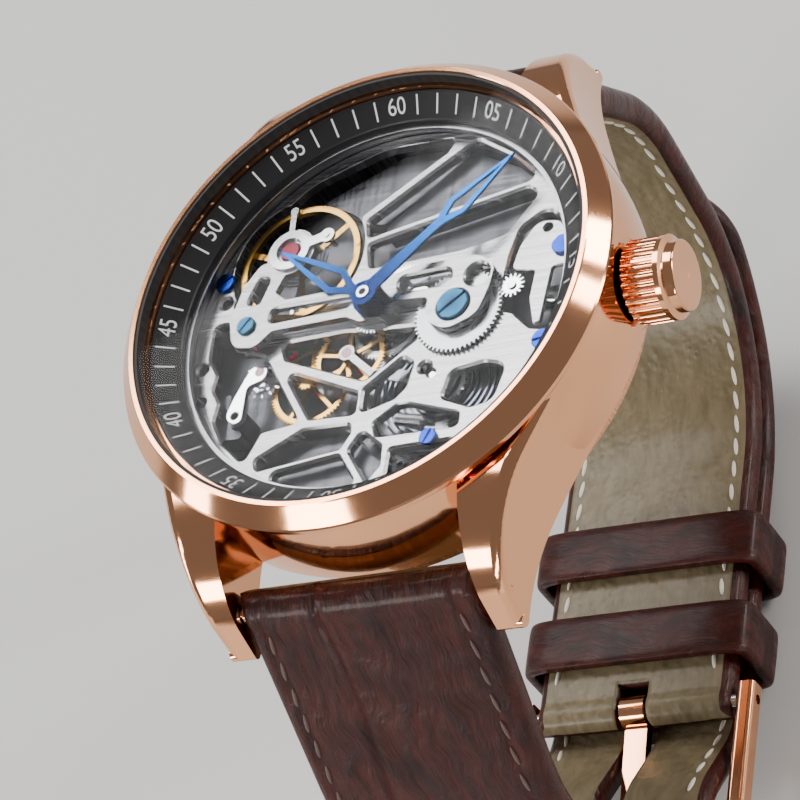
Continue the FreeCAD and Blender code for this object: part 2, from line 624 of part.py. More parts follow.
def front_bridge():
    """The long bridge across the dial: from the left boss to the crown wheel, with the balance arm."""
    arm = [(-12.6, 0.6, 1.0), (-11.9, 3.6, 0.8), (-10.6, 5.6, 0.8), (-8.0, 4.9, 0.4), (-9.0, 2.6, 0.3),
           (-7.9, 1.75, 0.3),
           (-1.9, 1.95, 0.4), (-0.9, 2.2, 1.0), (1.1, 2.3, 0.8), (3.0, 2.85, 1.0), (8.4, 2.9, 1.5),
           (10.0, 1.8, 1.2),
           (9.7, -0.2, 1.0), (9.0, -2.4, 1.6), (6.6, -3.4, 1.6), (4.6, -2.3, 1.4), (4.7, -0.2, 0.4),
           (1.9, 0.0, 0.6),
           (0.9, -1.3, 0.9), (-1.0, -1.4, 0.9), (-2.2, -0.75, 0.5), (-8.6, -0.9, 0.4), (-10.0, -2.2, 1.1),
           (-12.0, -1.9, 1.3)]
    body = plate_of(arm, 0.4, BRIDGE_BASE, BRIDGE_TOP)
    cock = disc(2.05, BRIDGE_BASE, BRIDGE_TOP, *BALANCE)
    body = body.fuse(cock).removeSplitter()
    slots = [
        [(-9.0, 1.15, 0.6), (-1.9, 1.2, 0.6), (-2.0, 0.15, 0.5), (-9.1, -0.15, 0.6)],
        [(1.9, 2.05, 0.7), (6.3, 2.2, 0.7), (6.4, 0.65, 0.7), (1.9, 0.75, 0.7)],
        [(-11.4, 1.95, 0.45), (-10.5, 4.3, 0.45), (-9.6, 4.0, 0.45), (-10.3, 1.75, 0.45)],
    ]
    for slot in slots:
        body = body.cut(plate_of(slot, 0.5, BRIDGE_BASE - 1, BRIDGE_TOP + 1))
    body = body.cut(disc(1.0, BRIDGE_BASE - 1, BRIDGE_TOP + 1, 8.55, 1.15))
    body = body.cut(disc(0.98, BRIDGE_BASE - 1, BRIDGE_TOP + 1))
    body = body.cut(disc(1.3, BRIDGE_BASE - 1, BRIDGE_TOP + 1, *CROWN_WHEEL))
    body = body.cut(disc(0.72, BRIDGE_BASE - 1, BRIDGE_TOP + 1, *BALANCE))
    body = bevelled(body.removeSplitter(), BRIDGE_TOP, 0.17)
    foot = disc(1.35, PLATE_TOP, BRIDGE_BASE, *LEFT_BOSS)
    body = body.fuse(foot)
    body = body.fuse(disc(0.28, PLATE_TOP, BRIDGE_BASE, 7.9, 2.6)).removeSplitter()
    return body.cut(disc(0.4, 5, 9, *LEFT_BOSS))


feature("front_bridge", front_bridge())


COCK_FOOT = (-11.6, -7.1)
COCK_POST = disc(0.8, REAR_TOP, 6.0, *COCK_FOOT)


def rear_bridge():
    """The back bridge that carries the rotor and the lower pivots."""
    body = disc(size("plate_rad") - 0.05, REAR_BASE, REAR_TOP)
    for outline in (
        [(-9, -7.6, 1), (-3.4, -7.4, 1), (-3.0, -8.8, 0.4), (-6.6, -8.9, 0.4), (-8.0, -9.6, 0.4)],
        [(3.6, -13.6, 0.8), (9.6, -11, 0.8), (12.2, -7.4, 0.8), (12.8, -3.8, 0.8), (12.0, -3.6, 0.4),
         (10.4, -10.0, 1.5)],
    ):
        body = body.cut(plate_of(outline, 0.5, REAR_BASE - 1, REAR_TOP + 1))
    body = body.cut(tube(3.0, 5.4, REAR_BASE - 1, REAR_TOP - 0.25, *BALANCE))
    body = body.cut(disc(0.5, REAR_BASE - 1, REAR_TOP + 1))
    wall = tube(15.6, 16.25, REAR_TOP, PLATE_BASE)
    raised = [
        plate_of([(-10.0, 11.4, 1), (-1.0, 15.5, 1), (4.6, 15.3, 0.5), (4.0, 13.4), (-1.9, 9.3, 0.5)], 0.5,
                 REAR_TOP, 5.2),
        plate_of([(5.0, 14.6, 0.5), (-1.6, 8.9, 0.5), (-1.4, 7.6, 0.5), (12.0, 9.9, 0.5), (9.4, 12.3, 1)],
                 0.4, REAR_TOP, 5.35),
        plate_of([(-1.2, 6.9, 0.4), (11.0, 9.3, 0.5), (12.4, 8.2, 0.5), (9.9, 4.7, 1), (-1.0, 4.5, 0.5)],
                 0.4, REAR_TOP, 5.0),
        plate_of([(-9.9, -11.6, 0.5), (-6.6, -8.9, 0.4), (-3.0, -8.8, 0.4), (1.6, -11.2),
                  (1.7, -15.2, 0.5), (-4, -15.2, 2)],
                 0.5, REAR_TOP, 5.25),
        plate_of([(-13.4, -8.6, 0.4), (-13.9, -5.6, 0.4), (-12.9, -4.0, 0.4), (-12.3, -6.6, 0.4),
                  (-11.0, -8.7, 0.3)],
                 0.3, REAR_TOP, 5.6),
    ]
    room = disc(7.3, REAR_TOP - 1, 7, *BARREL).fuse(disc(5.7, REAR_TOP - 1, 7, *BALANCE))
    raised = [each.cut(room) for each in raised]
    body = body.multiFuse([wall, COCK_POST] + raised).removeSplitter()
    body = body.cut(Part.makeCylinder(0.8, 6, V(14, 0, size("stem_z")), V(1, 0, 0)))
    for x, y in PLATE_SCREWS[:3]:
        body = body.cut(disc(0.33, REAR_TOP - 0.2, PLATE_BASE + 1, x, y))
    pivots = [BALANCE, FORK, ESCAPE, FOURTH, THIRD]
    for x, y in pivots:
        body = body.cut(disc(0.4, REAR_BASE - 1, REAR_TOP + 1, x, y))
    return body.cut(disc(0.5, REAR_BASE - 1, REAR_TOP + 1, *BARREL))


feature("rear_bridge", rear_bridge())


def train_cock():
    """A small cock over the escape wheel, standing on its own post."""
    ax, ay = COCK_FOOT
    bx, by = ESCAPE
    outline = [(ax - 0.95, ay - 0.3, 0.9), (ax - 0.4, ay + 1.6, 0.9), (bx - 0.75, by + 0.7, 0.7),
               (bx + 0.7, by + 0.35, 0.6),
               (bx + 0.6, by - 0.75, 0.7), (bx - 0.9, by - 1.2, 0.6), (ax + 0.7, ay - 1.0, 0.8)]
    body = plate_of(outline, 0.7, 6.0, 6.4).cut(disc(0.42, 5, 7, *ESCAPE)).cut(disc(0.3, 5, 7, *COCK_FOOT))
    return bevelled(body, 6.4, 0.1)


feature("train_cock", train_cock())

# ruby bearings pressed in the rear bridge, the train cock, the plate and the balance cock
rubies = [disc(0.4, REAR_BASE, REAR_TOP, x, y).cut(disc(0.14, REAR_BASE - 1, REAR_TOP + 1, x, y))
          for x, y in (BALANCE, FORK, ESCAPE, FOURTH, THIRD)]
rubies.append(disc(0.42, 6.0, 6.42, *ESCAPE).cut(disc(0.15, 5, 6.2, *ESCAPE)))
rubies.append(disc(0.42, PLATE_BASE, PLATE_BASE + 0.48, *THIRD).cut(disc(0.18, 5, PLATE_BASE + 0.3,
                                                                         *THIRD)))
feature("train_jewels", Part.makeCompound(rubies))
cock_jewel = disc(0.72, BRIDGE_BASE, BRIDGE_TOP + 0.15, *BALANCE)
feature("balance_jewel", cock_jewel.cut(disc(0.14, 7.0, BRIDGE_TOP - 0.1, *BALANCE)))


def regulator():
    """The index: a ring on the balance cock with a short pointer and a stud arm."""
    low, high = BRIDGE_TOP, BRIDGE_TOP + 0.3
    ring = tube(1.05, 1.75, low, high, *BALANCE)
    pointer = finger(*BALANCE, 92, 3.6, 0.5, low, high, 0.36)
    stud_arm = finger(*BALANCE, 14, 3.3, 0.8, low, high, 0.6)
    whole = ring.fuse([pointer, stud_arm]).removeSplitter()
    whole = whole.cut(disc(1.05, low - 1, high + 1, *BALANCE))
    x, y = step_to(*BALANCE, 3.3, 14)
    whole = whole.cut(disc(0.22, low - 1, high + 1, x, y))
    return bevelled(whole, high, 0.06)


feature("regulator", regulator())
stud_place = step_to(*BALANCE, 3.3, 14)
feature("hairspring_stud", disc(0.21, BRIDGE_TOP - 1.2, BRIDGE_TOP + 0.4, *stud_place))

# keyless cover plate at 3 o'clock
cover_outline = [(10.9, 1.6, 0.4), (11.3, 3.6, 1.0), (12.6, 5.7, 1.2), (14.5, 5.4, 1.0), (15.5, 3.4, 0.8),
                 (15.6, 1.4, 0.4),
                 (14.3, 1.3, 0.3), (13.9, -3.4, 0.3), (13.3, -3.6, 0.2), (12.7, -1.2, 0.3),
                 (12.9, 1.2, 0.3)]
cover = plate_of(cover_outline, 0.4, PLATE_TOP, PLATE_TOP + 0.35)
cover = bevelled(cover, PLATE_TOP + 0.35, 0.08).cut(disc(0.45, 6, 8, 13.5, 4.9)).cut(disc(0.4, 6, 8, 15.0,
                                                                                          3.0))
feature("keyless_cover", cover)


def slotted_screw(x, y, head, thick, seat, stem_rad, depth, angle):
    """A cheese-head screw with one slot."""
    whole = disc(head, seat, seat + thick, x, y)
    edge = [e for e in whole.Edges if abs(e.CenterOfMass.z - seat - thick) < 1e-6]
    whole = whole.makeChamfer(0.08, edge)
    corner = V(-head * 1.2, -0.08 * head - 0.04, seat + thick * 0.55)
    slot = Part.makeBox(head * 2.4, 0.16 * head + 0.08, thick, corner)
    slot.rotate(V(0, 0, 0), V(0, 0, 1), angle)
    slot.translate(V(x, y, 0))
    return whole.cut(slot).fuse(disc(stem_rad, seat - depth, seat, x, y))


feature("crown_wheel_screw", slotted_screw(*CROWN_WHEEL, 1.28, 0.5, BRIDGE_TOP - 0.25, 0.6, 1.9, 38))
feature("bridge_screw", slotted_screw(*LEFT_BOSS, 0.78, 0.3, BRIDGE_TOP, 0.38, 1.1, 52))
SCREW_TURNS = [35, -40, 10, 65]
plate_screws = [slotted_screw(x, y, 0.85 if i < 3 else 0.7, 0.35, PLATE_TOP + (0.35 if i == 1 else 0.0),
                              0.3,
                              1.1 if i == 1 else 0.75, SCREW_TURNS[i])
                for i, (x, y) in enumerate(PLATE_SCREWS)]
feature("plate_screws", Part.makeCompound(plate_screws))

# going train
turn_c = bearing_of(0, 0, *BARREL)


def barrel():
    """The open barrel: a toothed floor, a wall and its arbor's bush."""
    first_tooth = gap_start(TEETH["barrel"], turn_c + 180)
    floor = gear(TEETH["barrel"], pitch("barrel", BARREL_MODULE), first_tooth, 4.15, 4.45)
    wall = tube(5.75, 6.1, 4.45, 5.05)
    cover = spoked(disc(6.1, 5.05, 5.15), 1.2, 5.6, 3, 1.0, 5.05, 5.15, 40)
    return at(compound_fuse([floor, wall, cover]).cut(disc(0.52, 4, 6)), *BARREL)


feature("barrel_drum", barrel())
feature("barrel_arbor", at(disc(0.48, REAR_BASE, 5.28).fuse(disc(0.4, 5.28, 6.3)), *BARREL))


def spiral_strip(inner, outer, turns, wall, low, high, start=0.0):
    """A flat spiral ribbon standing on edge, built as half circles whose radii step outwards."""
    step = (outer - inner) / (2 * turns)
    outline_in, outline_out = [], []
    radius, centre = inner, 0.0
    for i in range(2 * turns):
        sign = 1 if i % 2 == 0 else -1
        for shift, store in ((-wall / 2, outline_in), (wall / 2, outline_out)):
            r = radius + shift
            near, far = V(centre + sign * r, 0, low), V(centre - sign * r, 0, low)
            store.append(Part.Arc(near, V(centre, sign * r, low), far))
        centre += sign * step
        radius += step
    ends = (outline_in[-1].EndPoint, outline_out[-1].EndPoint)
    starts = (outline_in[0].StartPoint, outline_out[0].StartPoint)
    edges = [a.toShape() for a in outline_in] + [Part.LineSegment(*ends).toShape()]
    edges += [a.toShape() for a in reversed(outline_out)] + [Part.LineSegment(starts[1],
                                                                              starts[0]).toShape()]
    wire = Part.Wire(Part.__sortEdges__(edges))
    strip = Part.Face(wire).extrude(V(0, 0, high - low))
    strip.rotate(V(0, 0, 0), V(0, 0, 1), start)
    return strip


feature("mainspring", at(spiral_strip(0.62, 5.45, 10, 0.15, 4.5, 5.0, 20), *BARREL))


def centre_wheel():
    """The steel centre wheel with its pinion and the arbor that carries the hands."""
    wheel = gear(TEETH["centre_wheel"], pitch("centre_wheel", TRAIN_MODULE),
                 gap_start(TEETH["centre_wheel"], bearing_of(0, 0, *THIRD)), 5.22, 5.4)
    wheel = spoked(wheel, 0.9, 2.6, 5, 0.45, 5.22, 5.4, 18)
    pinion = gear(TEETH["centre_pinion"], pitch("centre_pinion", BARREL_MODULE), turn_c, 4.15, 4.5)
    return compound_fuse([wheel, pinion, disc(0.5, 4.5, 5.3), disc(0.3, 3.95, 9.3)])


feature("centre_wheel", centre_wheel())


def train_wheel(wheel_name, wheel_module, wheel_gap, wheel_z, pinion_name, pinion_module, pinion_tooth,
                pinion_z,
                rim, spokes, arbor, arbor_z):
    """A spoked wheel and its pinion on one arbor."""
    wheel = gear(TEETH[wheel_name], pitch(wheel_name, wheel_module), wheel_gap, *wheel_z)
    wheel = spoked(wheel, 0.45, rim, spokes, 0.3, *wheel_z, start=25)
    pinion = gear(TEETH[pinion_name], pitch(pinion_name, pinion_module), pinion_tooth, *pinion_z)
    return compound_fuse([wheel, pinion, disc(arbor, *arbor_z), disc(0.12, REAR_BASE, arbor_z[0])])


third_tooth = gap_start(TEETH["third_wheel"], bearing_of(*THIRD, *FOURTH))
third = train_wheel("third_wheel", THIRD_MODULE, third_tooth, (5.62, 5.8), "third_pinion", TRAIN_MODULE,
                    bearing_of(*THIRD, 0, 0), (5.12, 5.5), 2.5, 5, 0.16, (4.2, 6.1))
feature("third_wheel", at(third, *THIRD))
fourth_tooth = gap_start(TEETH["fourth_wheel"], bearing_of(*FOURTH, *ESCAPE))
fourth = train_wheel("fourth_wheel", FOURTH_MODULE, fourth_tooth, (4.85, 5.03), "fourth_pinion",
                     THIRD_MODULE,
                     bearing_of(*FOURTH, *THIRD), (5.5, 5.88), 2.95, 5, 0.16, (4.2, 5.9))
feature("fourth_wheel", at(fourth, *FOURTH))

ESCAPE_TEETH, ESCAPE_RAD = 15, 1.85


def escape_wheel():
    """Fifteen raked teeth on a light rim, with the escape pinion below."""
    points = []
    profile = ((1.3, 0.0), (1.55, 0.16), (ESCAPE_RAD, 0.34), (ESCAPE_RAD, 0.42), (1.5, 0.36), (1.3, 0.44))
    for i in range(ESCAPE_TEETH):
        start = 2 * math.pi * i / ESCAPE_TEETH
        for radius, share in profile:
            angle = start + share * 2 * math.pi / ESCAPE_TEETH
            points.append(V(radius * math.cos(angle), radius * math.sin(angle), 5.45))
    wheel = Part.Face(Part.makePolygon(points + points[:1])).extrude(V(0, 0, 0.15))
    wheel = spoked(wheel, 0.38, 1.05, 5, 0.26, 5.45, 5.6)
    facing = bearing_of(*ESCAPE, *FOURTH)
    pinion = gear(TEETH["escape_pinion"], pitch("escape_pinion", FOURTH_MODULE), facing, 4.75, 5.13)
    return compound_fuse([wheel, pinion, disc(0.14, 4.2, 6.15), disc(0.12, REAR_BASE, 4.2)])


feature("escape_wheel", at(escape_wheel(), *ESCAPE))


def pallet_fork():
    """The lever between escape wheel and balance: two pallet arms, a long lever and two horns."""
    low, high = 5.45, 5.6
    to_escape = bearing_of(*FORK, *ESCAPE)
    to_balance = bearing_of(*FORK, *BALANCE)
    reach = math.dist(FORK, BALANCE) - 1.05
    lever = Part.makeBox(reach, 0.34, high - low, V(0, -0.17, low))
    horns = [Part.makeBox(0.32, 0.16, high - low, V(reach, y, low)) for y in (-0.3, 0.14)]
    crossbar = Part.makeBox(0.12, 0.6, high - low, V(reach - 0.1, -0.3, low))
    upper = compound_fuse([lever, crossbar] + horns)
    upper.rotate(V(0, 0, 0), V(0, 0, 1), to_balance)
    arms = []
    for side in (-1, 1):
        arm = Part.makeBox(2.0, 0.3, high - low, V(0, -0.15, low))
        arm.rotate(V(0, 0, 0), V(0, 0, 1), to_escape + side * 58)
        arms.append(arm)
    whole = compound_fuse([upper, disc(0.4, low, high), disc(0.12, REAR_BASE, 5.86)] + arms)
    return at(whole, *FORK)


feature("pallet_fork", pallet_fork())
pallet_blocks = []
for side in (-1, 1):
    stone = Part.makeBox(0.3, 0.55, 0.2, V(1.85, -0.275, 5.62))
    stone.rotate(V(0, 0, 0), V(0, 0, 1), bearing_of(*FORK, *ESCAPE) + side * 58)
    pallet_blocks.append(at(stone, *FORK))
feature("pallet_stones", Part.makeCompound(pallet_blocks))

# balance
BALANCE_RAD, BALANCE_LOW, BALANCE_HIGH = 5.2, 5.95, 6.4


def balance_wheel():
    rim = tube(BALANCE_RAD - 0.5, BALANCE_RAD, BALANCE_LOW, BALANCE_HIGH)
    arms, weights = [], []
    for i in range(3):
        arm = Part.makeBox(BALANCE_RAD - 0.3, 0.5, 0.2, V(0, -0.25, BALANCE_LOW))
        arm.rotate(V(0, 0, 0), V(0, 0, 1), 40 + 120 * i)
        arms.append(arm)
    for i in range(4):
        x, y = step_to(0, 0, BALANCE_RAD - 0.25, 10 + 90 * i)
        weights.append(disc(0.2, BALANCE_HIGH, BALANCE_HIGH + 0.08, x, y))
    hub = disc(0.7, BALANCE_LOW, BALANCE_LOW + 0.25)
    body = compound_fuse([rim, hub] + arms + weights)
    return at(body.cut(disc(0.2, 5, 7)), *BALANCE)


feature("balance_wheel", balance_wheel())
impulse_pin = disc(0.07, 5.45, 5.7, *step_to(0, 0, 0.42, bearing_of(*BALANCE, *FORK)))
staff = compound_fuse([disc(0.2, 4.0, 7.0), disc(0.12, REAR_BASE, 4.0), disc(0.12, 7.0, BRIDGE_TOP - 0.2),
                       disc(0.6, 5.66, 5.78), impulse_pin])
feature("balance_staff", at(staff, *BALANCE))
hairspring = spiral_strip(0.42, 2.6, 7, 0.05, 6.62, 6.75, 10).fuse(tube(0.2, 0.42, 6.6, 6.85))
feature("hairspring", at(hairspring, *BALANCE))

# winding work
upper_wheel = gear(TEETH["crown_wheel_upper"], pitch("crown_wheel_upper", WINDING_MODULE),
                   gap_start(TEETH["crown_wheel_upper"], bearing_of(*CROWN_WHEEL, *TRANSFER)), 6.78, 7.1)
lower_wheel = gear(TEETH["crown_wheel_lower"], pitch("crown_wheel_lower", RATCHET_MODULE),
                   gap_start(TEETH["crown_wheel_lower"], bearing_of(*CROWN_WHEEL, *BARREL)), 5.3, 5.55)
crown_wheel = compound_fuse([upper_wheel, lower_wheel, disc(0.95, 5.55, 6.78)]).cut(disc(0.64, 5, 8))
feature("crown_wheel", at(crown_wheel, *CROWN_WHEEL))
ratchet_tooth = bearing_of(*BARREL, *CROWN_WHEEL)
ratchet = gear(TEETH["ratchet"], pitch("ratchet", RATCHET_MODULE), ratchet_tooth, 5.3, 5.55)
feature("ratchet_wheel", at(ratchet.cut(disc(0.4, 5, 6)), *BARREL))
transfer_tooth = bearing_of(*TRANSFER, *CROWN_WHEEL)
transfer = gear(TEETH["transfer"], pitch("transfer", WINDING_MODULE), transfer_tooth, 6.78, 7.05,
                dedendum=1.6)
transfer = transfer.cut(disc(0.22, 6, 8))
feature("transfer_pinion", at(transfer, *TRANSFER))
transfer_post = at(disc(0.2, 6.2, 7.15).fuse(disc(0.34, 7.1, 7.2)), *TRANSFER)


def click_spring():
    """A short coil between the click and the plate, laid as a stack of rings."""
    rings = [Part.makeTorus(0.42, 0.1, V(0.26 * i, 0, 0), V(1, 0, 0)) for i in range(9)]
    core = Part.makeCylinder(0.33, 0.26 * 8 + 0.5, V(-0.25, 0, 0), V(1, 0, 0))
    whole = core.multiFuse(rings)
    whole.rotate(V(0, 0, 0), V(0, 0, 1), -14)
    whole.translate(V(2.9, -9.65, 6.35))
    return whole


feature("click_spring", click_spring())

# motion work and hands
CANNON_LOW, CANNON_TEETH_TOP = 6.75, 6.93
outward, inward = bearing_of(0, 0, *MINUTE_WHEEL), bearing_of(*MINUTE_WHEEL, 0, 0)
cannon = compound_fuse([
    gear(TEETH["cannon"], pitch("cannon", MOTION_MODULE), outward, CANNON_LOW, CANNON_TEETH_TOP),
    disc(0.5, CANNON_TEETH_TOP, 9.65),
]).cut(disc(0.32, 6, 10))
feature("cannon_pinion", cannon)
minute_turn = gap_start(TEETH["minute_wheel"], inward)
minute = compound_fuse([
    gear(TEETH["minute_wheel"], pitch("minute_wheel", MOTION_MODULE), minute_turn, CANNON_LOW,
         CANNON_TEETH_TOP),
    gear(TEETH["minute_pinion"], pitch("minute_pinion", MOTION_MODULE), inward, CANNON_TEETH_TOP, 7.18),
])
feature("minute_wheel", at(minute.cut(disc(0.2, 6, 8)), *MINUTE_WHEEL))
minute_post = at(disc(0.18, PLATE_TOP, 7.2), *MINUTE_WHEEL)
feature("wheel_posts", Part.makeCompound([transfer_post, minute_post]))
HOUR_MODULE = 2 * (motion_reach - MESH_GAP - pitch("minute_pinion", MOTION_MODULE)) / TEETH["hour_wheel"]
hour_turn = gap_start(TEETH["hour_wheel"], outward)
hour = compound_fuse([
    gear(TEETH["hour_wheel"], pitch("hour_wheel", HOUR_MODULE), hour_turn, 6.98, 7.18),
    disc(0.85, 7.18, 8.75),
]).cut(disc(0.55, 6, 10))
feature("hour_wheel", hour)

MINUTE_ANGLE, HOUR_ANGLE = -46.8, 56.0  # turned anticlockwise from 12, seen from the front: 10:08


def hand(outline, window, hub, bore, low, high, collar_low, angle):
    """A flat open hand with a round hub and a collar below it."""
    mirrored = outline + [(-p[0],) + tuple(p[1:]) for p in reversed(outline) if abs(p[0]) > 1e-9]
    opening = window + [(-p[0],) + tuple(p[1:]) for p in reversed(window) if abs(p[0]) > 1e-9]
    blade = plate_of(mirrored, 0.15, low, high)
    blade = blade.cut(plate_of(opening, 0.06, low - 1, high + 1))
    whole = blade.fuse(disc(hub, collar_low, high)).cut(disc(bore, 0, 20)).removeSplitter()
    whole.rotate(V(0, 0, 0), V(0, 0, 1), angle)
    return whole


hour_outline = [(0.55, 0.2), (0.45, 1.6, 0.6), (0.5, 2.2, 0.8), (1.18, 3.7, 0.5), (0.62, 7.2, 6),
                (0.0, 10.5, 0.02)]
hour_window = [(0.0, 2.5, 0.05), (0.66, 3.8, 0.3), (0.5, 4.9, 1.0), (0.06, 8.7, 0.03)]
feature("hour_hand", hand(hour_outline, hour_window, 1.3, 0.85, 8.5, 8.72, 7.95, HOUR_ANGLE))
minute_outline = [(0.62, 0.2), (0.58, 2.0, 2), (0.36, 6.5, 2), (0.4, 7.7, 0.8), (1.02, 9.5, 0.5),
                  (0.5, 12.6, 6), (0.0, 15.4, 0.02)]
minute_window = [(0.0, 8.3, 0.05), (0.56, 9.6, 0.3), (0.4, 10.6, 1.0), (0.05, 13.8, 0.03)]
feature("minute_hand", hand(minute_outline, minute_window, 1.08, 0.5, 9.3, 9.52, 8.8, MINUTE_ANGLE))

# rotor
def rotor():
    """The oscillating weight: a half disc with a heavy rim and three openings."""
    web = disc(14.9, 2.45, 2.8)
    rim = tube(12.0, 14.9, 1.75, 2.8)
    body = web.fuse(rim)
    half = Part.makeBox(32, 16, 3, V(-16, 0, 1))
    body = body.common(half.fuse(disc(2.6, 1, 4)))
    for angle in (36, 90, 144):
        opening = [(-1.6, 4.2, 0.5), (1.6, 4.2, 0.5), (3.0, 10.6, 0.8), (-3.0, 10.6, 0.8)]
        body = body.cut(plate_of(about(opening, 0, 0, angle - 90), 0.5, 1, 4))
    return body.cut(disc(1.4, 1, 4)).removeSplitter()


feature("rotor", rotor())
feature("rotor_hub", disc(1.39, 2.3, 2.95).fuse(disc(1.9, 1.95, 2.3)).cut(disc(0.62, 1, 4)))
feature("rotor_axle", disc(0.58, 1.8, REAR_BASE).fuse(disc(0.49, REAR_BASE, 3.9)).fuse(disc(0.95, 1.65,
                                                                                            1.9)))

# strap and buckle
def band(points, radii, thick, width):
    """A strip of even thickness along rounded corners in the YZ plane, as wide as given along X."""
    path = [V(0, y, z) for y, z in points]
    sides = {1: [], -1: []}
    count = len(path)
    tangents = []
    for i in range(count):
        if i in (0, count - 1):
            tangents.append((path[i], path[i], None, 0))
            continue
        back, ahead = (path[i] - path[i - 1]).normalize(), (path[i + 1] - path[i]).normalize()
        turn = back.getAngle(ahead)
        reach = radii[i - 1] * math.tan(turn / 2)
        sense = 1 if (back.cross(ahead)).x > 0 else -1
        left = V(0, -back.z, back.y)
        centre = path[i] - back * reach + left * (radii[i - 1] * sense)
        tangents.append((path[i] - back * reach, path[i] + ahead * reach, centre, sense))
    for side in (1, -1):
        edges = []
        for i in range(count - 1):
            ahead = (path[i + 1] - path[i]).normalize()
            left = V(0, -ahead.z, ahead.y) * (side * thick / 2)
            start, end = tangents[i][1] + left, tangents[i + 1][0] + left
            if (end - start).Length > 1e-6:
                edges.append(Part.LineSegment(start, end).toShape())
            leave = tangents[i + 1]
            if leave[2] is not None:
                following = (path[i + 2] - path[i + 1]).normalize()
                next_left = V(0, -following.z, following.y) * (side * thick / 2)
                a, b, c = leave[0] + left, leave[1] + next_left, leave[2]
                radius = (a - c).Length
                middle = ((a - c) + (b - c)).normalize() * radius + c
                edges.append(Part.Arc(a, middle, b).toShape())
        sides[side] = edges
    first = Part.LineSegment(sides[1][0].firstVertex().Point, sides[-1][0].firstVertex().Point)
    last = Part.LineSegment(sides[1][-1].lastVertex().Point, sides[-1][-1].lastVertex().Point)
    ends = [first.toShape(), last.toShape()]
    wire = Part.Wire(Part.__sortEdges__(sides[1] + sides[-1] + ends))
    strip = Part.Face(wire).extrude(V(width, 0, 0))
    strip.translate(V(-width / 2, 0, 0))
    return strip


def taper():
    """The prism that narrows the strap from the lugs to the buckle."""
    wide, narrow = size("strap_width") / 2, size("strap_end_width") / 2
    outline = [V(-wide, -40, 6), V(wide, -40, 6), V(wide, -40, 1), V(narrow, -40, -38), V(narrow, -40, -50),
               V(-narrow, -40, -50), V(-narrow, -40, -38), V(-wide, -40, 1)]
    return Part.Face(Part.makePolygon(outline + outline[:1])).extrude(V(0, 80, 0))


BAR_Y, BAR_Z = size("bar_y"), size("bar_z")
BUCKLE_Y, BUCKLE_Z = size("buckle_bar_y"), size("buckle_bar_z")
THICK, TAIL = size("strap_thick"), size("tail_thick")
SHORT_PATH = [(BAR_Y, BAR_Z), (31.8, -14.5), (29.0, BUCKLE_Z), (BUCKLE_Y, BUCKLE_Z)]
SHORT_RADII = [14.0, 17.0]
LONG_PATH = [(-BAR_Y, BAR_Z), (-31.8, -14.5), (-29.8, -39.0), (-18.5, -39.6), (-11.0, -44.85),
             (31.57, -44.85), (33.5, -26.0)]
LONG_RADII = [14.0, 9.0, 6.0, 8.0, 19.85]


def strap_roll(y, z, rad, bore, width):
    """The rolled end of a strap half round its bar."""
    outer = Part.makeCylinder(rad, width, V(-width / 2, y, z), V(1, 0, 0))
    return outer, Part.makeCylinder(bore, width + 2, V(-width / 2 - 1, y, z), V(1, 0, 0))


def strap_short():
    strip = band(SHORT_PATH, SHORT_RADII, THICK, size("strap_width"))
    roll_a, bore_a = strap_roll(BAR_Y, BAR_Z, 1.75, size("bar_rad") + 0.05, size("strap_width"))
    roll_b, bore_b = strap_roll(BUCKLE_Y, BUCKLE_Z, 1.5, size("bar_rad") + 0.05, size("strap_width"))
    body = strip.multiFuse([roll_a, roll_b]).common(taper()).cut(bore_a).cut(bore_b)
    slot = Part.makeBox(3.6, 4.6, 5, V(-1.8, BUCKLE_Y - 2.0, BUCKLE_Z - 2.5))
    return body.cut(slot).removeSplitter()


feature("strap_short", strap_short())


def strap_long():
    strip = band(LONG_PATH, LONG_RADII, TAIL, size("strap_width"))
    roll, bore = strap_roll(-BAR_Y, BAR_Z, 1.75, size("bar_rad") + 0.05, size("strap_width"))
    upper = band([LONG_PATH[0], LONG_PATH[1], (-31.0, -24.0)], [14.0], THICK + 0.4, size("strap_width"))
    body = strip.multiFuse([roll, upper]).common(taper()).cut(bore)
    slot = Part.makeBox(3.6, 12.9, 8.0, V(-1.8, -22.6, -47.0))
    body = body.cut(slot)
    for y in (1.55, 10.6):
        body = body.cut(Part.makeCylinder(0.8, 6, V(0, y, -48)))
    tip_cut = Part.makeBox(30, 12, 13, V(-15, 26, -35)).cut(
        Part.makeCylinder(9.1, 14, V(0, 25, -35), V(0, 1, 0)))
    return body.cut(tip_cut).removeSplitter()


feature("strap_long", strap_long())


def keeper(low_y):
    """A leather loop round both strap layers, with rounded corners."""
    half, wall = size("strap_end_width") / 2 + 0.35, size("keeper_wall")
    top, foot = BUCKLE_Z + THICK / 2 + 0.25, -44.85 - TAIL / 2 - 0.2

    def ring(grow, radius):
        wide, low, high = half + grow, foot - grow, top + grow
        wire = rounded_wire([(-wide, low), (wide, low), (wide, high), (-wide, high)], radius)
        solid = Part.Face(wire).extrude(V(0, 0, size("keeper_width")))
        solid.rotate(V(0, 0, 0), V(1, 0, 0), 90)
        solid.translate(V(0, low_y + size("keeper_width"), 0))
        return solid

    return ring(wall, 1.4).cut(ring(0, 0.4))


feature("fixed_keeper", keeper(-5.4))
feature("free_keeper", keeper(3.2))


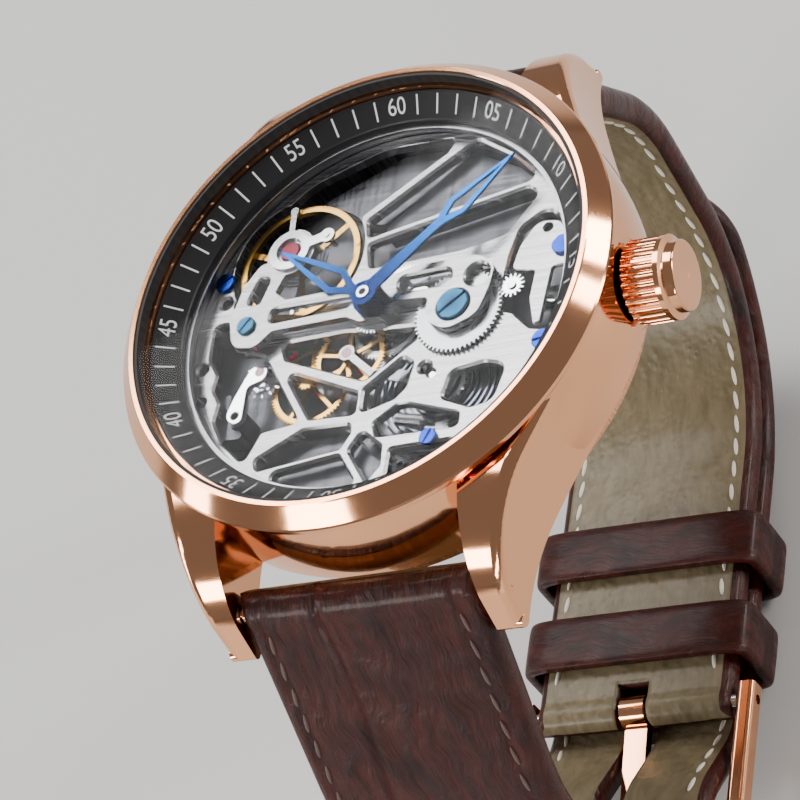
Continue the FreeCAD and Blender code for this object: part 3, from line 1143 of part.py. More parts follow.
def buckle_frame():
    """A polished U frame: two sides, a round front bar and the hinge ends."""
    inner, side = size("buckle_inner_width") / 2, size("buckle_side")
    front_y = BUCKLE_Y - size("buckle_reach")
    sides = []
    for sign in (-1, 1):
        x = inner if sign > 0 else -inner - side
        rail = Part.makeBox(side, size("buckle_reach") + 1.3, 2.0, V(x, front_y, BUCKLE_Z - 0.9))
        rail_edges = [e for e in rail.Edges if abs(e.tangentAt(e.FirstParameter).y) > 0.9]
        sides.append(rail.makeFillet(0.45, rail_edges))
    bar = Part.makeCylinder(1.1, 2 * inner + 2 * side, V(-inner - side, front_y, BUCKLE_Z + 0.2),
                            V(1, 0, 0))
    body = compound_fuse(sides + [bar])
    return body.cut(Part.makeCylinder(0.42, 30, V(-15, BUCKLE_Y, BUCKLE_Z), V(1, 0, 0)))


feature("buckle_frame", buckle_frame())
bar_half = size("buckle_inner_width") / 2 - 0.1
bar_tube = Part.makeCylinder(size("bar_rad"), 2 * bar_half, V(-bar_half, BUCKLE_Y, BUCKLE_Z), V(1, 0, 0))
bar_tips = Part.makeCylinder(0.4, 2 * bar_half + 1.8, V(-bar_half - 0.9, BUCKLE_Y, BUCKLE_Z), V(1, 0, 0))
feature("buckle_bar", bar_tube.fuse(bar_tips))


def buckle_tang():
    """The tongue: a loose eye on the bar and a tapered arm that rests under the front bar."""
    bore, outer = size("bar_rad") + size("tang_play"), size("bar_rad") + size("tang_play") + 0.42
    pivot = V(-1.1, BUCKLE_Y, BUCKLE_Z)
    tip_y, tip_z = BUCKLE_Y - size("buckle_reach") - 1.0, BUCKLE_Z - 1.55
    outline = [V(-1.0, BUCKLE_Y, BUCKLE_Z - 1.1), V(-1.0, BUCKLE_Y - 1.0, BUCKLE_Z - 0.1),
               V(-1.0, tip_y + 2.5, tip_z + 0.5), V(-1.0, tip_y, tip_z + 0.45),
               V(-1.0, tip_y, tip_z - 0.25),
               V(-1.0, tip_y + 3, tip_z - 0.55)]
    arm = Part.Face(Part.makePolygon(outline + outline[:1])).extrude(V(2.0, 0, 0))
    whole = Part.makeCylinder(outer, 2.2, pivot, V(1, 0, 0)).fuse(arm)
    return whole.cut(Part.makeCylinder(bore, 4, pivot - V(1, 0, 0), V(1, 0, 0))).removeSplitter()


feature("buckle_tang", buckle_tang())

# check and write
doc.recompute()
bad = [o.Name for o in doc.Objects if {"Invalid", "Error"} & set(o.State)]
if bad:
    raise SystemExit(f"failed objects: {bad}")
os.makedirs("parts", exist_ok=True)
for old in os.listdir("parts"):
    os.remove(os.path.join("parts", old))
for obj in outputs:
    shape = obj.Shape
    if shape.isNull() or not shape.isValid() or not shape.Solids:
        raise SystemExit(f"bad shape: {obj.Label}")
    shape.exportStep(f"parts/{obj.Label}.step")
print(len(outputs), "parts")
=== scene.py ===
import math

import bpy
import numpy as np
from mathutils import Matrix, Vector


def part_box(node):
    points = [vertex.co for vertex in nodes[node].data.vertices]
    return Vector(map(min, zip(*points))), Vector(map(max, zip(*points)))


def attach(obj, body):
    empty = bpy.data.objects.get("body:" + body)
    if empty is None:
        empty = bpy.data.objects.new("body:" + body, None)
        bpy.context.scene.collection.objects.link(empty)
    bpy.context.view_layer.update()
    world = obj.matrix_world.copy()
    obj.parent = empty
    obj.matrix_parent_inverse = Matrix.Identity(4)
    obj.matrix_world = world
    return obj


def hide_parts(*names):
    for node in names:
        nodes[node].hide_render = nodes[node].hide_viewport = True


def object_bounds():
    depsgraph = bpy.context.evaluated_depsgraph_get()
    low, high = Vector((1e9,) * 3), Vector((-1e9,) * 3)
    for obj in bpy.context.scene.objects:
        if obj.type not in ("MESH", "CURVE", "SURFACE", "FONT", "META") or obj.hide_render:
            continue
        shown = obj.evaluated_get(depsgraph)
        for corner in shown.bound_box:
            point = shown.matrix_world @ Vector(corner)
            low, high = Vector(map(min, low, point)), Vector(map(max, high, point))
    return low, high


# Skeleton wristwatch, in metres, in the same frame as the CAD.
# +Z leaves the dial, +Y points to 12 o'clock, +X to the crown.
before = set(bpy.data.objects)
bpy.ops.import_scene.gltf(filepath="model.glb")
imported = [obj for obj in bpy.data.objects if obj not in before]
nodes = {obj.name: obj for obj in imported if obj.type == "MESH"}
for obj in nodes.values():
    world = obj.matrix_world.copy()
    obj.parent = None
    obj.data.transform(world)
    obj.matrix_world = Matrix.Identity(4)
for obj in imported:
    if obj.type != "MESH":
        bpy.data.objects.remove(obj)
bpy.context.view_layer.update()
mm = 0.001
print("frame loaded")


# A shader socket that can be used in plain sums.
class Wire:
    def __init__(self, shader, socket):
        self.shader = shader
        self.socket = socket

    def maths(self, operation, other=0.0, swapped=False):
        first, second = (other, self) if swapped else (self, other)
        return self.shader.node("ShaderNodeMath", {0: first, 1: second}, operation=operation)

    def __add__(self, other):
        return self.maths("ADD", other)

    def __sub__(self, other):
        return self.maths("SUBTRACT", other)

    def __mul__(self, other):
        return self.maths("MULTIPLY", other)

    def __truediv__(self, other):
        return self.maths("DIVIDE", other)

    def __radd__(self, other):
        return self.maths("ADD", other, True)

    def __rsub__(self, other):
        return self.maths("SUBTRACT", other, True)

    def __rmul__(self, other):
        return self.maths("MULTIPLY", other, True)

    def __rtruediv__(self, other):
        return self.maths("DIVIDE", other, True)

    def __pow__(self, other):
        return self.maths("POWER", other)

    def sine(self):
        return self.maths("SINE")

    def size(self):
        return self.maths("ABSOLUTE")

    def between(self, low, high):
        return self.shader.node(
            "ShaderNodeMapRange", {0: self, 1: low, 2: high, 3: 0.0, 4: 1.0}, interpolation_type="SMOOTHSTEP"
        )


# One material: a Principled surface and the wires that feed it.
class Shader:
    def __init__(self, name, colour, metallic=0.0, roughness=0.5, **constants):
        self.material = bpy.data.materials.new(name)
        self.material.use_nodes = True
        self.tree = self.material.node_tree
        self.surface = self.tree.nodes["Principled BSDF"]
        self.material.diffuse_color = (*colour, 1.0)
        self.feed("Base Color", (*colour, 1.0))
        self.feed("Metallic", metallic)
        self.feed("Roughness", roughness)
        for key, value in constants.items():
            self.feed(key.replace("_", " "), value)

    def feed(self, key, value):
        target = self.surface.inputs[key]
        if isinstance(value, Wire):
            self.tree.links.new(value.socket, target)
        else:
            target.default_value = value

    def node(self, kind, inputs=None, output=0, **settings):
        made = self.tree.nodes.new(kind)
        for key, value in settings.items():
            setattr(made, key, value)
        for key, value in (inputs or {}).items():
            if isinstance(value, Wire):
                self.tree.links.new(value.socket, made.inputs[key])
            else:
                made.inputs[key].default_value = value
        return Wire(self, made.outputs[output])

    def place(self):
        return self.node("ShaderNodeTexCoord", output="Object")

    def flat(self):
        return self.node("ShaderNodeUVMap", uv_map="flat")

    def stretched(self, where, scale):
        return self.node("ShaderNodeMapping", {"Vector": where, "Scale": scale})

    def parts(self, where):
        split = self.node("ShaderNodeSeparateXYZ", {0: where}, "X")
        made = split.socket.node
        return split, Wire(self, made.outputs["Y"]), Wire(self, made.outputs["Z"])

    def noise(self, where, scale, detail=3.0, roughness=0.55):
        return self.node(
            "ShaderNodeTexNoise", {"Vector": where, "Scale": scale, "Detail": detail, "Roughness": roughness}
        )

    def cells(self, where, scale, feature="F1"):
        inputs = {"Vector": where, "Scale": scale}
        return self.node("ShaderNodeTexVoronoi", inputs, "Distance", feature=feature)

    def tint(self, factor, first, second):
        inputs = {"Factor": factor, 6: first, 7: second}
        for slot in (6, 7):
            if isinstance(inputs[slot], tuple):
                inputs[slot] = (*inputs[slot], 1.0)
        return self.node("ShaderNodeMix", inputs, 2, data_type="RGBA")

    def bump(self, height, distance, strength=1.0):
        inputs = {"Height": height, "Distance": distance, "Strength": strength}
        self.feed("Normal", self.node("ShaderNodeBump", inputs))


def dress(shader, *names):
    for name in names:
        materials = nodes[name].data.materials
        materials.clear()
        materials.append(shader.material)


# polished metal: faint haze in the shine and hairlines too fine to see singly
def polished(name, colour, roughness, haze=0.04):
    shader = Shader(name, colour, 1.0, roughness)
    place = shader.place()
    cloud = shader.noise(place, 260.0)
    hair = shader.noise(shader.stretched(place, (900.0, 9000.0, 900.0)), 1.0, 2.0)
    shader.feed("Roughness", roughness + haze * cloud * hair)
    shader.bump(hair, 0.00001, 0.05)
    return shader


# brushed metal: streaks run along the axes with the small scale, and the colour follows them a little
def brushed(name, colour, roughness, scale, depth=0.12):
    shader = Shader(name, colour, 1.0, roughness)
    place = shader.place()
    streak = shader.noise(shader.stretched(place, scale), 1.0, 4.0)
    cloud = shader.noise(place, 180.0)
    dark = tuple(c * 0.62 for c in colour)
    shader.feed("Base Color", shader.tint(streak.between(0.3, 0.72), dark, colour))
    shader.feed("Roughness", roughness - 0.08 + 0.2 * streak + 0.06 * cloud)
    shader.bump(streak, 0.00002, depth)
    return shader


# snailed metal: fine rings about a wheel's own axis
def snailed(name, colour, roughness, centre, rings=9000.0):
    shader = Shader(name, colour, 1.0, roughness)
    x, y, z = shader.parts(shader.place())
    reach = ((x - centre[0]) ** 2.0 + (y - centre[1]) ** 2.0) ** 0.5
    wave = (reach * rings + 3.0 * shader.noise(shader.place(), 900.0)).sine() * 0.5 + 0.5
    dark = tuple(c * 0.7 for c in colour)
    shader.feed("Base Color", shader.tint(wave, dark, colour))
    shader.feed("Roughness", roughness + 0.12 * wave)
    shader.bump(wave, 0.00001, 0.15)
    return shader


def centreOf(name):
    low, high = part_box(name)
    return [(low[i] + high[i]) / 2 for i in range(3)]


# case, bezel, crown and buckle
gold = polished("rose gold", (0.86, 0.41, 0.215), 0.08, 0.06)
dress(gold, "case_middle", "bezel", "crown", "buckle_frame", "buckle_tang")
backGold = brushed("rose gold brushed", (0.84, 0.41, 0.22), 0.22, (60.0, 6000.0, 60.0), 0.08)
dress(backGold, "case_back")
steel = polished("steel", (0.78, 0.79, 0.81), 0.12)
dress(steel, "spring_bar_12", "spring_bar_6", "buckle_bar", "crown_tube", "winding_stem", "sliding_pinion",
      "barrel_arbor", "balance_staff", "cannon_pinion", "hour_wheel", "rotor_axle", "wheel_posts",
      "hairspring_stud")

# sapphire: nearly all see-through
sapphire = Shader("sapphire", (0.0, 0.0, 0.0), 0.0, 0.02, Alpha=0.07)
smear = sapphire.noise(sapphire.place(), 60.0)
sapphire.feed("Roughness", 0.015 + 0.02 * smear)
dress(sapphire, "crystal", "case_back_glass")
rubber = Shader("black rubber", (0.012, 0.012, 0.012), 0.0, 0.6)
rubber.bump(rubber.noise(rubber.place(), 2500.0), 0.00003, 0.2)
dress(rubber, "crystal_gasket", "case_back_gasket", "crown_gasket")

# chapter ring: matte charcoal lacquer with a fine grain
lacquer = Shader("charcoal lacquer", (0.014, 0.014, 0.016), 0.0, 0.42, Specular_IOR_Level=0.35)
grain = lacquer.noise(lacquer.place(), 6000.0, 2.0)
lacquer.feed("Roughness", 0.36 + 0.16 * grain)
lacquer.bump(grain, 0.00001, 0.25)
dress(lacquer, "chapter_ring")
print("case dressed")

# movement
plateSteel = brushed("rhodium plate", (0.52, 0.52, 0.54), 0.2, (120.0, 5200.0, 120.0), 0.14)
dress(plateSteel, "main_plate", "front_bridge", "keyless_cover")
polishedSteel = polished("black polish", (0.84, 0.85, 0.87), 0.07)
dress(polishedSteel, "train_cock", "regulator", "pallet_fork", "transfer_pinion", "minute_wheel",
      "escape_wheel")

# the rear bridge shows through the windows: dark steel with crossed brush lines
rearSteel = Shader("crossed steel", (0.2, 0.2, 0.21), 1.0, 0.3)
rearPlace = rearSteel.place()
along = rearSteel.noise(rearSteel.stretched(rearPlace, (90.0, 5200.0, 90.0)), 1.0, 3.0)
across = rearSteel.noise(rearSteel.stretched(rearPlace, (5200.0, 90.0, 90.0)), 1.0, 3.0)
crossed = (along + across) * 0.5
rearTint = rearSteel.tint(crossed.between(0.35, 0.65), (0.025, 0.025, 0.03), (0.17, 0.17, 0.185))
rearSteel.feed("Base Color", rearTint)
rearSteel.feed("Roughness", 0.24 + 0.2 * crossed)
rearSteel.bump(crossed, 0.00002, 0.2)
dress(rearSteel, "rear_bridge")
dress(brushed("holder steel", (0.5, 0.5, 0.52), 0.25, (300.0, 300.0, 5000.0)), "movement_holder")

# rotor: broad stripes, the size of a sine of x, bent by a slow sine of y
striped = Shader("striped rotor", (0.75, 0.75, 0.77), 1.0, 0.2)
sx, sy, sz = striped.parts(striped.place())
stripe = (sx * 2600.0 + 0.6 * (sy * 300.0).sine()).sine().size()
striped.feed("Base Color", striped.tint(stripe, (0.5, 0.5, 0.52), (0.82, 0.82, 0.84)))
striped.feed("Roughness", 0.12 + 0.2 * stripe)
striped.bump(stripe, 0.00002, 0.2)
dress(striped, "rotor", "rotor_hub")

wheelGold = {"third_wheel": 14000.0, "fourth_wheel": 14000.0, "balance_wheel": 9000.0}
for name, rings in wheelGold.items():
    dress(snailed("gilt " + name.split("_")[0], (0.9, 0.52, 0.12), 0.14, centreOf(name), rings), name)
for name in ("ratchet_wheel", "crown_wheel", "centre_wheel"):
    dress(snailed("snailed " + name.split("_")[0], (0.62, 0.63, 0.66), 0.2, centreOf(name)), name)
dress(snailed("barrel steel", (0.34, 0.34, 0.36), 0.22, centreOf("barrel_drum")), "barrel_drum")
dress(polished("spring steel", (0.2, 0.22, 0.27), 0.2), "mainspring")
dress(polished("bright coil", (0.7, 0.71, 0.74), 0.12), "click_spring")
dress(polished("hairspring steel", (0.28, 0.34, 0.5), 0.2), "hairspring")

# ruby: deep pink red under a clear coat
ruby = Shader("ruby", (0.55, 0.01, 0.06), 0.0, 0.05, Coat_Weight=0.6, Specular_IOR_Level=0.8)
ruby.feed("Base Color", ruby.tint(ruby.noise(ruby.place(), 1800.0), (0.32, 0.0, 0.03), (0.8, 0.03, 0.13)))
dress(ruby, "train_jewels", "balance_jewel", "pallet_stones")


# heat-blued steel: the blue lightens away from a point, as it does along a heated hand
def blued(name, near, far, centre, reach, roughness=0.18):
    shader = Shader(name, near, 1.0, roughness)
    place = shader.place()
    x, y, z = shader.parts(place)
    away = ((x - centre[0]) ** 2.0 + (y - centre[1]) ** 2.0) ** 0.5 / reach
    streak = shader.noise(shader.stretched(place, (2600.0, 2600.0, 400.0)), 1.0, 3.0)
    shader.feed("Base Color", shader.tint((away + 0.25 * streak - 0.12).between(0.0, 1.0), near, far))
    shader.feed("Roughness", roughness + 0.1 * streak)
    shader.bump(streak, 0.00001, 0.06)
    return shader


handBlue = blued("blued hands", (0.002, 0.012, 0.07), (0.003, 0.115, 0.43), (0, 0), 12.0 * mm, 0.17)
dress(handBlue, "minute_hand", "hour_hand")
screwMiddle = centreOf("crown_wheel_screw")
screwBlue = blued("blued screw", (0.008, 0.045, 0.1), (0.02, 0.11, 0.2), screwMiddle, 1.6 * mm)
dress(screwBlue, "crown_wheel_screw", "bridge_screw")
dress(blued("royal screw", (0.004, 0.018, 0.2), (0.01, 0.045, 0.38), (0, 0), 15.0 * mm), "plate_screws")
print("movement dressed")


def meshObject(name, points, faces, materials, body, faceSlots=None, smooth=True):
    data = bpy.data.meshes.new(name)
    data.from_pydata(points, [], faces)
    for shader in materials:
        data.materials.append(shader.material)
    if faceSlots is not None:
        data.polygons.foreach_set("material_index", np.asarray(faceSlots, dtype=np.int32))
    data.polygons.foreach_set("use_smooth", np.full(len(data.polygons), smooth))
    data.update()
    made = bpy.data.objects.new(name, data)
    bpy.context.scene.collection.objects.link(made)
    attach(made, body)
    return made


# printed marks lie on the ring's cone: its height grows evenly from the inner edge to the outer
coneInner, coneOuter = (16.25 * mm, 8.62 * mm), (18.0 * mm, 9.75 * mm)


def onCone(radius, lift):
    share = (radius - coneInner[0]) / (coneOuter[0] - coneInner[0])
    return coneInner[1] + share * (coneOuter[1] - coneInner[1]) + lift


# white print with a faint emission: a painted glow that brightens the marks with no lamp on them
paint = Shader("white print with painted glow", (0.85, 0.86, 0.86), 0.0, 0.45, Emission_Strength=0.08)
paint.feed("Emission Color", (0.8, 0.82, 0.85, 1.0))
paintGrain = paint.noise(paint.place(), 9000.0)
paint.feed("Roughness", 0.4 + 0.15 * paintGrain)
marks = {"numeralRadius": 17.2 * mm, "numeralSize": 1.62 * mm, "tickInner": 16.55 * mm,
         "tickOuter": 17.85 * mm, "tickWide": 0.15 * mm, "lift": 0.012 * mm}


def numeralRing():
    points, faces, count = [], [], 0
    for step in range(12):
        text = bpy.data.curves.new("figure", "FONT")
        text.body = "60" if step == 0 else f"{step * 5:02d}"
        text.size = marks["numeralSize"]
        text.align_x = "CENTER"
        text.align_y = "CENTER"
        holder = bpy.data.objects.new("figure", text)
        mesh = bpy.data.meshes.new_from_object(holder)
        flat = np.empty(len(mesh.vertices) * 3)
        mesh.vertices.foreach_get("co", flat)
        flat = flat.reshape(-1, 3)
        radius = marks["numeralRadius"] + flat[:, 1]
        turn = math.pi / 2 - step * math.pi / 6 - flat[:, 0] / marks["numeralRadius"]
        ring = np.stack([radius * np.cos(turn), radius * np.sin(turn), onCone(radius, marks["lift"])], axis=1)
        points.append(ring)
        faces += [[v + count for v in polygon.vertices] for polygon in mesh.polygons]
        count += len(ring)
        bpy.data.objects.remove(holder)
        bpy.data.curves.remove(text)
    return meshObject("numerals", np.concatenate(points), faces, [paint], "case", smooth=False)


def tickRing():
    steps = np.array([i for i in range(60) if i % 5])
    turn = math.pi / 2 - steps * math.pi / 30
    radii = np.linspace(marks["tickInner"], marks["tickOuter"], 5)
    outward = np.stack([np.cos(turn), np.sin(turn)], axis=1)
    sideways = np.stack([-np.sin(turn), np.cos(turn)], axis=1) * marks["tickWide"] / 2
    rows = []
    for radius in radii:
        for side in (1, -1):
            flat = outward * radius + sideways * side
            level = np.full((len(steps), 1), onCone(radius, marks["lift"]))
            rows.append(np.concatenate([flat, level], axis=1))
    grid = np.stack(rows, axis=1)
    faces = [[10 * t + 2 * r + 1, 10 * t + 2 * r + 3, 10 * t + 2 * r + 2, 10 * t + 2 * r]
             for t in range(len(steps)) for r in range(4)]
    return meshObject("minute_ticks", grid.reshape(-1, 3), faces, [paint], "case", smooth=False)


numeralRing()
tickRing()
print("dial printed")


# leather: large soft scales with lengthwise wrinkles and a fine pebble grain, laid out on the strap's
# own flat pattern in metres
def leather(name, dark, light, wrinkle, pebble, scaled):
    shader = Shader(name, dark, 0.0, 0.36, Specular_IOR_Level=0.2, Coat_Weight=0.1, Coat_Roughness=0.18)
    flat = shader.flat()
    fine = shader.cells(flat, 1500.0, "SMOOTH_F1")
    bend = shader.noise(flat, 140.0, 2.0) * 0.004
    curved = shader.node("ShaderNodeVectorMath", {0: flat, 1: bend}, operation="ADD")
    folds = shader.noise(shader.stretched(curved, (240.0, 1300.0, 1.0)), 1.0, 6.0, 0.65)
    rim = shader.cells(shader.stretched(curved, (110.0, 250.0, 1.0)), 1.0, "DISTANCE_TO_EDGE")
    scale = rim.between(0.0, 0.16)
    broad = shader.noise(flat, 170.0, 3.0)
    # colour: darker in the hollows of the folds and between the scales, a painted shade, with random tone
    # from the broad noise
    foldShadeAndTone = (0.6 * folds + 0.35 * broad + 0.05 * scale).between(0.3, 0.7)
    shader.feed("Base Color", shader.tint(foldShadeAndTone, dark, light))
    shader.feed("Roughness", 0.22 + 0.18 * fine + 0.16 * folds)
    shader.bump(wrinkle * folds + pebble * fine + scaled * scale + 0.15 * broad, 0.0003, 1.0)
    return shader


outerLeather = leather("brown leather", (0.008, 0.0012, 0.0009), (0.055, 0.0085, 0.005), 1.5, 0.25, 0.2)
lining = leather("olive lining", (0.12, 0.095, 0.052), (0.2, 0.16, 0.095), 0.2, 0.4, 0.0)
threadDark = Shader("brown thread", (0.06, 0.022, 0.016), 0.0, 0.6, Sheen_Weight=0.2)
threadTwist = threadDark.noise(threadDark.place(), 4000.0)
threadDark.feed("Base Color", threadDark.tint(threadTwist, (0.035, 0.012, 0.009), (0.1, 0.04, 0.03)))
threadPale = Shader("pale thread", (0.75, 0.7, 0.6), 0.0, 0.65)
paleTwist = threadPale.noise(threadPale.place(), 4000.0)
threadPale.feed("Base Color", threadPale.tint(paleTwist, (0.6, 0.55, 0.45), (0.85, 0.8, 0.7)))


# the centre line in the YZ plane: straight runs joined by arcs, as evenly spaced points with their distances
# along the line
def centreLine(corners, radii, spacing):
    corners = np.array(corners, dtype=float) * mm
    points = [corners[:1]]
    for i in range(1, len(corners) - 1):
        back, ahead = corners[i] - corners[i - 1], corners[i + 1] - corners[i]
        back, ahead = back / np.hypot(*back), ahead / np.hypot(*ahead)
        turn = math.acos(np.clip(back @ ahead, -1, 1))
        sense = math.copysign(1.0, back[0] * ahead[1] - back[1] * ahead[0])
        radius = radii[i - 1] * mm
        start = corners[i] - back * radius * math.tan(turn / 2)
        centre = start + radius * sense * np.array([-back[1], back[0]])
        angles = np.linspace(0, turn, max(4, int(turn * radius / (0.5 * spacing)))) * sense
        arm = start - centre
        points.append(centre + np.stack([arm[0] * np.cos(angles) - arm[1] * np.sin(angles),
                                         arm[0] * np.sin(angles) + arm[1] * np.cos(angles)], axis=1))
    points.append(corners[-1:])
    line = np.concatenate(points)
    run = np.concatenate([[0], np.cumsum(np.hypot(*np.diff(line, axis=0).T))])
    count = int(run[-1] / spacing)
    even = np.linspace(0, run[-1], count)
    line = np.stack([np.interp(even, run, line[:, 0]), np.interp(even, run, line[:, 1])], axis=1)
    return even, line


class Band:
    # outward is +1 or -1: the side of the centre line on which the outer leather lies
    def __init__(self, corners, radii, outward, half, thick, startRound, endRound, spacing=0.35 * mm):
        self.run, self.line = centreLine(corners, radii, spacing)
        self.outward, self.half, self.thick = outward, half, thick
        self.startRound, self.endRound = startRound, endRound

    # place and outward direction at a distance along the line; past an end the line runs straight on
    def at(self, along):
        inside = np.clip(along, 0, self.run[-1])
        place = np.stack([np.interp(inside, self.run, self.line[:, i]) for i in (0, 1)], axis=1)
        nearby = 0.4 * mm
        ahead = np.stack([np.interp(inside + nearby, self.run, self.line[:, i]) for i in (0, 1)], axis=1)
        behind = np.stack([np.interp(inside - nearby, self.run, self.line[:, i]) for i in (0, 1)], axis=1)
        heading = ahead - behind
        heading /= np.hypot(heading[:, 0], heading[:, 1])[:, None]
        place = place + heading * (along - inside)[:, None]
        outward = np.stack([-heading[:, 1], heading[:, 0]], axis=1) * self.outward
        return place, outward, heading

    # half the thickness: the strap's own, closed at each end by the curve of a circle
    def depth(self, along):
        half = self.thick(along) / 2
        total = self.run[-1]
        for reach, past in ((self.startRound, -along), (self.endRound, along - total)):
            if reach:
                curve = np.sqrt(np.clip(reach ** 2 - np.clip(past, -reach, reach) ** 2, 0, None))
                half = np.where(past > -reach, np.maximum(curve, np.where(past < 0, half, 0)), half)
        return np.maximum(half, 0.02 * mm)

    def place(self, along, sideways, height):
        place, outward, _ = self.at(along)
        flat = place + outward * height[:, None]
        return np.stack([sideways, flat[:, 0], flat[:, 1]], axis=1)


outer = {"crown": 0.16 * mm, "groove": 0.13 * mm, "grooveWide": 0.34 * mm, "crease": 0.3 * mm,
         "creaseWide": 0.32 * mm, "fold": 0.03 * mm}
seam = {"inset": 1.75 * mm, "spacing": 2.3 * mm, "length": 0.82 * mm, "wide": 0.2 * mm, "tall": 0.15 * mm,
        "proud": 0.03 * mm, "lean": 0.12}


# the outer leather's relief: a crown that falls off with the square of the way out, less a bell-shaped
# groove under each stitch line, which fades where the tail narrows, less one long crease, plus fine folds
def relief(along, sideways, half):
    share = np.abs(sideways) / half
    crown = outer["crown"] * (1 - share ** 2)
    fromSeam = np.abs(sideways) - (half - seam["inset"])
    groove = outer["groove"] * np.exp(-(fromSeam / outer["grooveWide"]) ** 2)
    groove *= np.clip((half - 4.5 * mm) / (2.0 * mm), 0, 1)
    creasePath = -0.33 * half + 0.25 * mm * np.sin(along / (5.0 * mm))
    crease = outer["crease"] * np.exp(-((sideways - creasePath) / outer["creaseWide"]) ** 2)
    crease *= np.exp(-along / (45 * mm))
    fold = outer["fold"] * np.sin(sideways / (0.62 * mm) + 1.3 * np.sin(along / (3.7 * mm)))
    fold *= np.clip((half - 2.4 * mm - np.abs(sideways)) / (1.0 * mm), 0, 1)
    return crown - outer["crown"] - groove - crease + fold


# a strap half as one closed skin: rows along the line, each a flat top, a rounded edge and a flat lining side
def strapSkin(name, band, slot, holes, body="case"):
    total = band.run[-1]
    rows = np.arange(-band.startRound, total + band.endRound, 0.36 * mm)
    ends = [(-band.startRound, band.startRound), (total + band.endRound, band.endRound)]
    dense = [e + s * (1 - math.cos(a)) * r
             for (e, r), s in zip(ends, (1, -1)) if r for a in np.linspace(0, 1.1, 7)]
    rows = np.unique(np.round(np.concatenate([rows, dense, [total + band.endRound]]), 6))
    columns, edge = 57, 7
    spread = np.linspace(-1, 1, columns)
    curve = np.linspace(math.pi / 2, -math.pi / 2, edge + 2)[1:-1]
    across = np.concatenate([spread, np.ones(edge), spread[::-1], -np.ones(edge)])
    bulge = np.concatenate([np.zeros(columns), np.cos(curve), np.zeros(columns), -np.cos(curve)])
    level = np.concatenate([np.ones(columns), np.sin(curve), -np.ones(columns), -np.sin(curve)])
    loop = len(across)
    along = np.repeat(rows, loop)
    half = band.half(along)
    rim = np.minimum(band.depth(along), 0.9 * mm)
    sideways = np.tile(across, len(rows)) * (half - rim) + np.tile(bulge, len(rows)) * rim
    grid = along.reshape(len(rows), loop).copy()
    side = sideways.reshape(len(rows), loop).copy()
    kept = np.ones((len(rows), loop), bool)
    for middle, radius in holes:
        row = int(np.argmin(np.abs(rows - middle)))
        column = (columns - 1) // 2
        block = 2
        for r in range(-block, block + 1):
            for c in range(-block, block + 1):
                if max(abs(r), abs(c)) < block:
                    continue
                turn = math.atan2(r, c)
                for j in (column + c, columns + edge + (columns - 1 - column) - c):
                    grid[row + r, j] = rows[row] + radius * math.sin(turn)
                    side[row + r, j] = radius * math.cos(turn)
        kept[row - block:row + block, column - block:column + block] = False
        lower = columns + edge + columns - 1 - column
        kept[row - block:row + block, lower - block:lower + block] = False
    if slot:
        first, last = np.searchsorted(rows, slot[0]), np.searchsorted(rows, slot[1])
        inside = np.where(np.abs(spread * (band.half(rows[first:first + 1])[0])) < slot[2])[0]
        low, high = inside[0], inside[-1]
        kept[first:last, low:high] = False
        lower = columns + edge
        kept[first:last, lower + columns - 1 - high:lower + columns - 1 - low] = False
    along, sideways = grid.ravel(), side.ravel()
    top = np.tile(np.maximum(level, 0) ** 0.5, len(rows))
    depth = band.depth(along)
    height = np.tile(level, len(rows)) * depth + top * relief(along, sideways, band.half(along))
    points = band.place(along, sideways, height)
    index = np.arange(len(rows) * loop).reshape(len(rows), loop)
    a, b = index[:-1], np.roll(index[:-1], -1, axis=1)
    c, d = np.roll(index[1:], -1, axis=1), index[1:]
    quads = np.stack([a, b, c, d], axis=2)
    shown = kept[:-1]
    faces = quads[shown].tolist()
    lower = (np.arange(loop) >= columns + edge) & (np.arange(loop) < columns + edge + columns - 1)
    slots = np.broadcast_to(lower, shown.shape)[shown].astype(int).tolist()
    # walls between the top and the lining side of each opening
    partner = np.arange(loop)
    partner[:columns] = columns + edge + columns - 1 - np.arange(columns)
    gone = np.pad(~kept[:-1, :columns - 1], 1)
    for r, j in np.argwhere(gone) - 1:
        for (r1, j1), (r2, j2), beyond in (
            ((r, j), (r, j + 1), (r - 1, j)), ((r + 1, j + 1), (r + 1, j), (r + 1, j)),
            ((r, j + 1), (r + 1, j + 1), (r, j + 1)), ((r + 1, j), (r, j), (r, j - 1)),
        ):
            if not gone[beyond[0] + 1, beyond[1] + 1]:
                faces.append([index[r1, j1], index[r2, j2], index[r2, partner[j2]], index[r1, partner[j1]]])
                slots.append(0)
    faces.append(index[0].tolist())
    faces.append(index[-1][::-1].tolist())
    slots += [0, 0]
    if band.outward > 0:
        faces = [f[::-1] for f in faces]
    made = meshObject(name, points, faces, [outerLeather, lining], body, slots)
    layer = made.data.uv_layers.new(name="flat")
    corner = np.empty(len(made.data.loops), dtype=np.int32)
    made.data.loops.foreach_get("vertex_index", corner)
    layer.data.foreach_set("uv", np.stack([along[corner], sideways[corner]], axis=1).ravel())
    return made


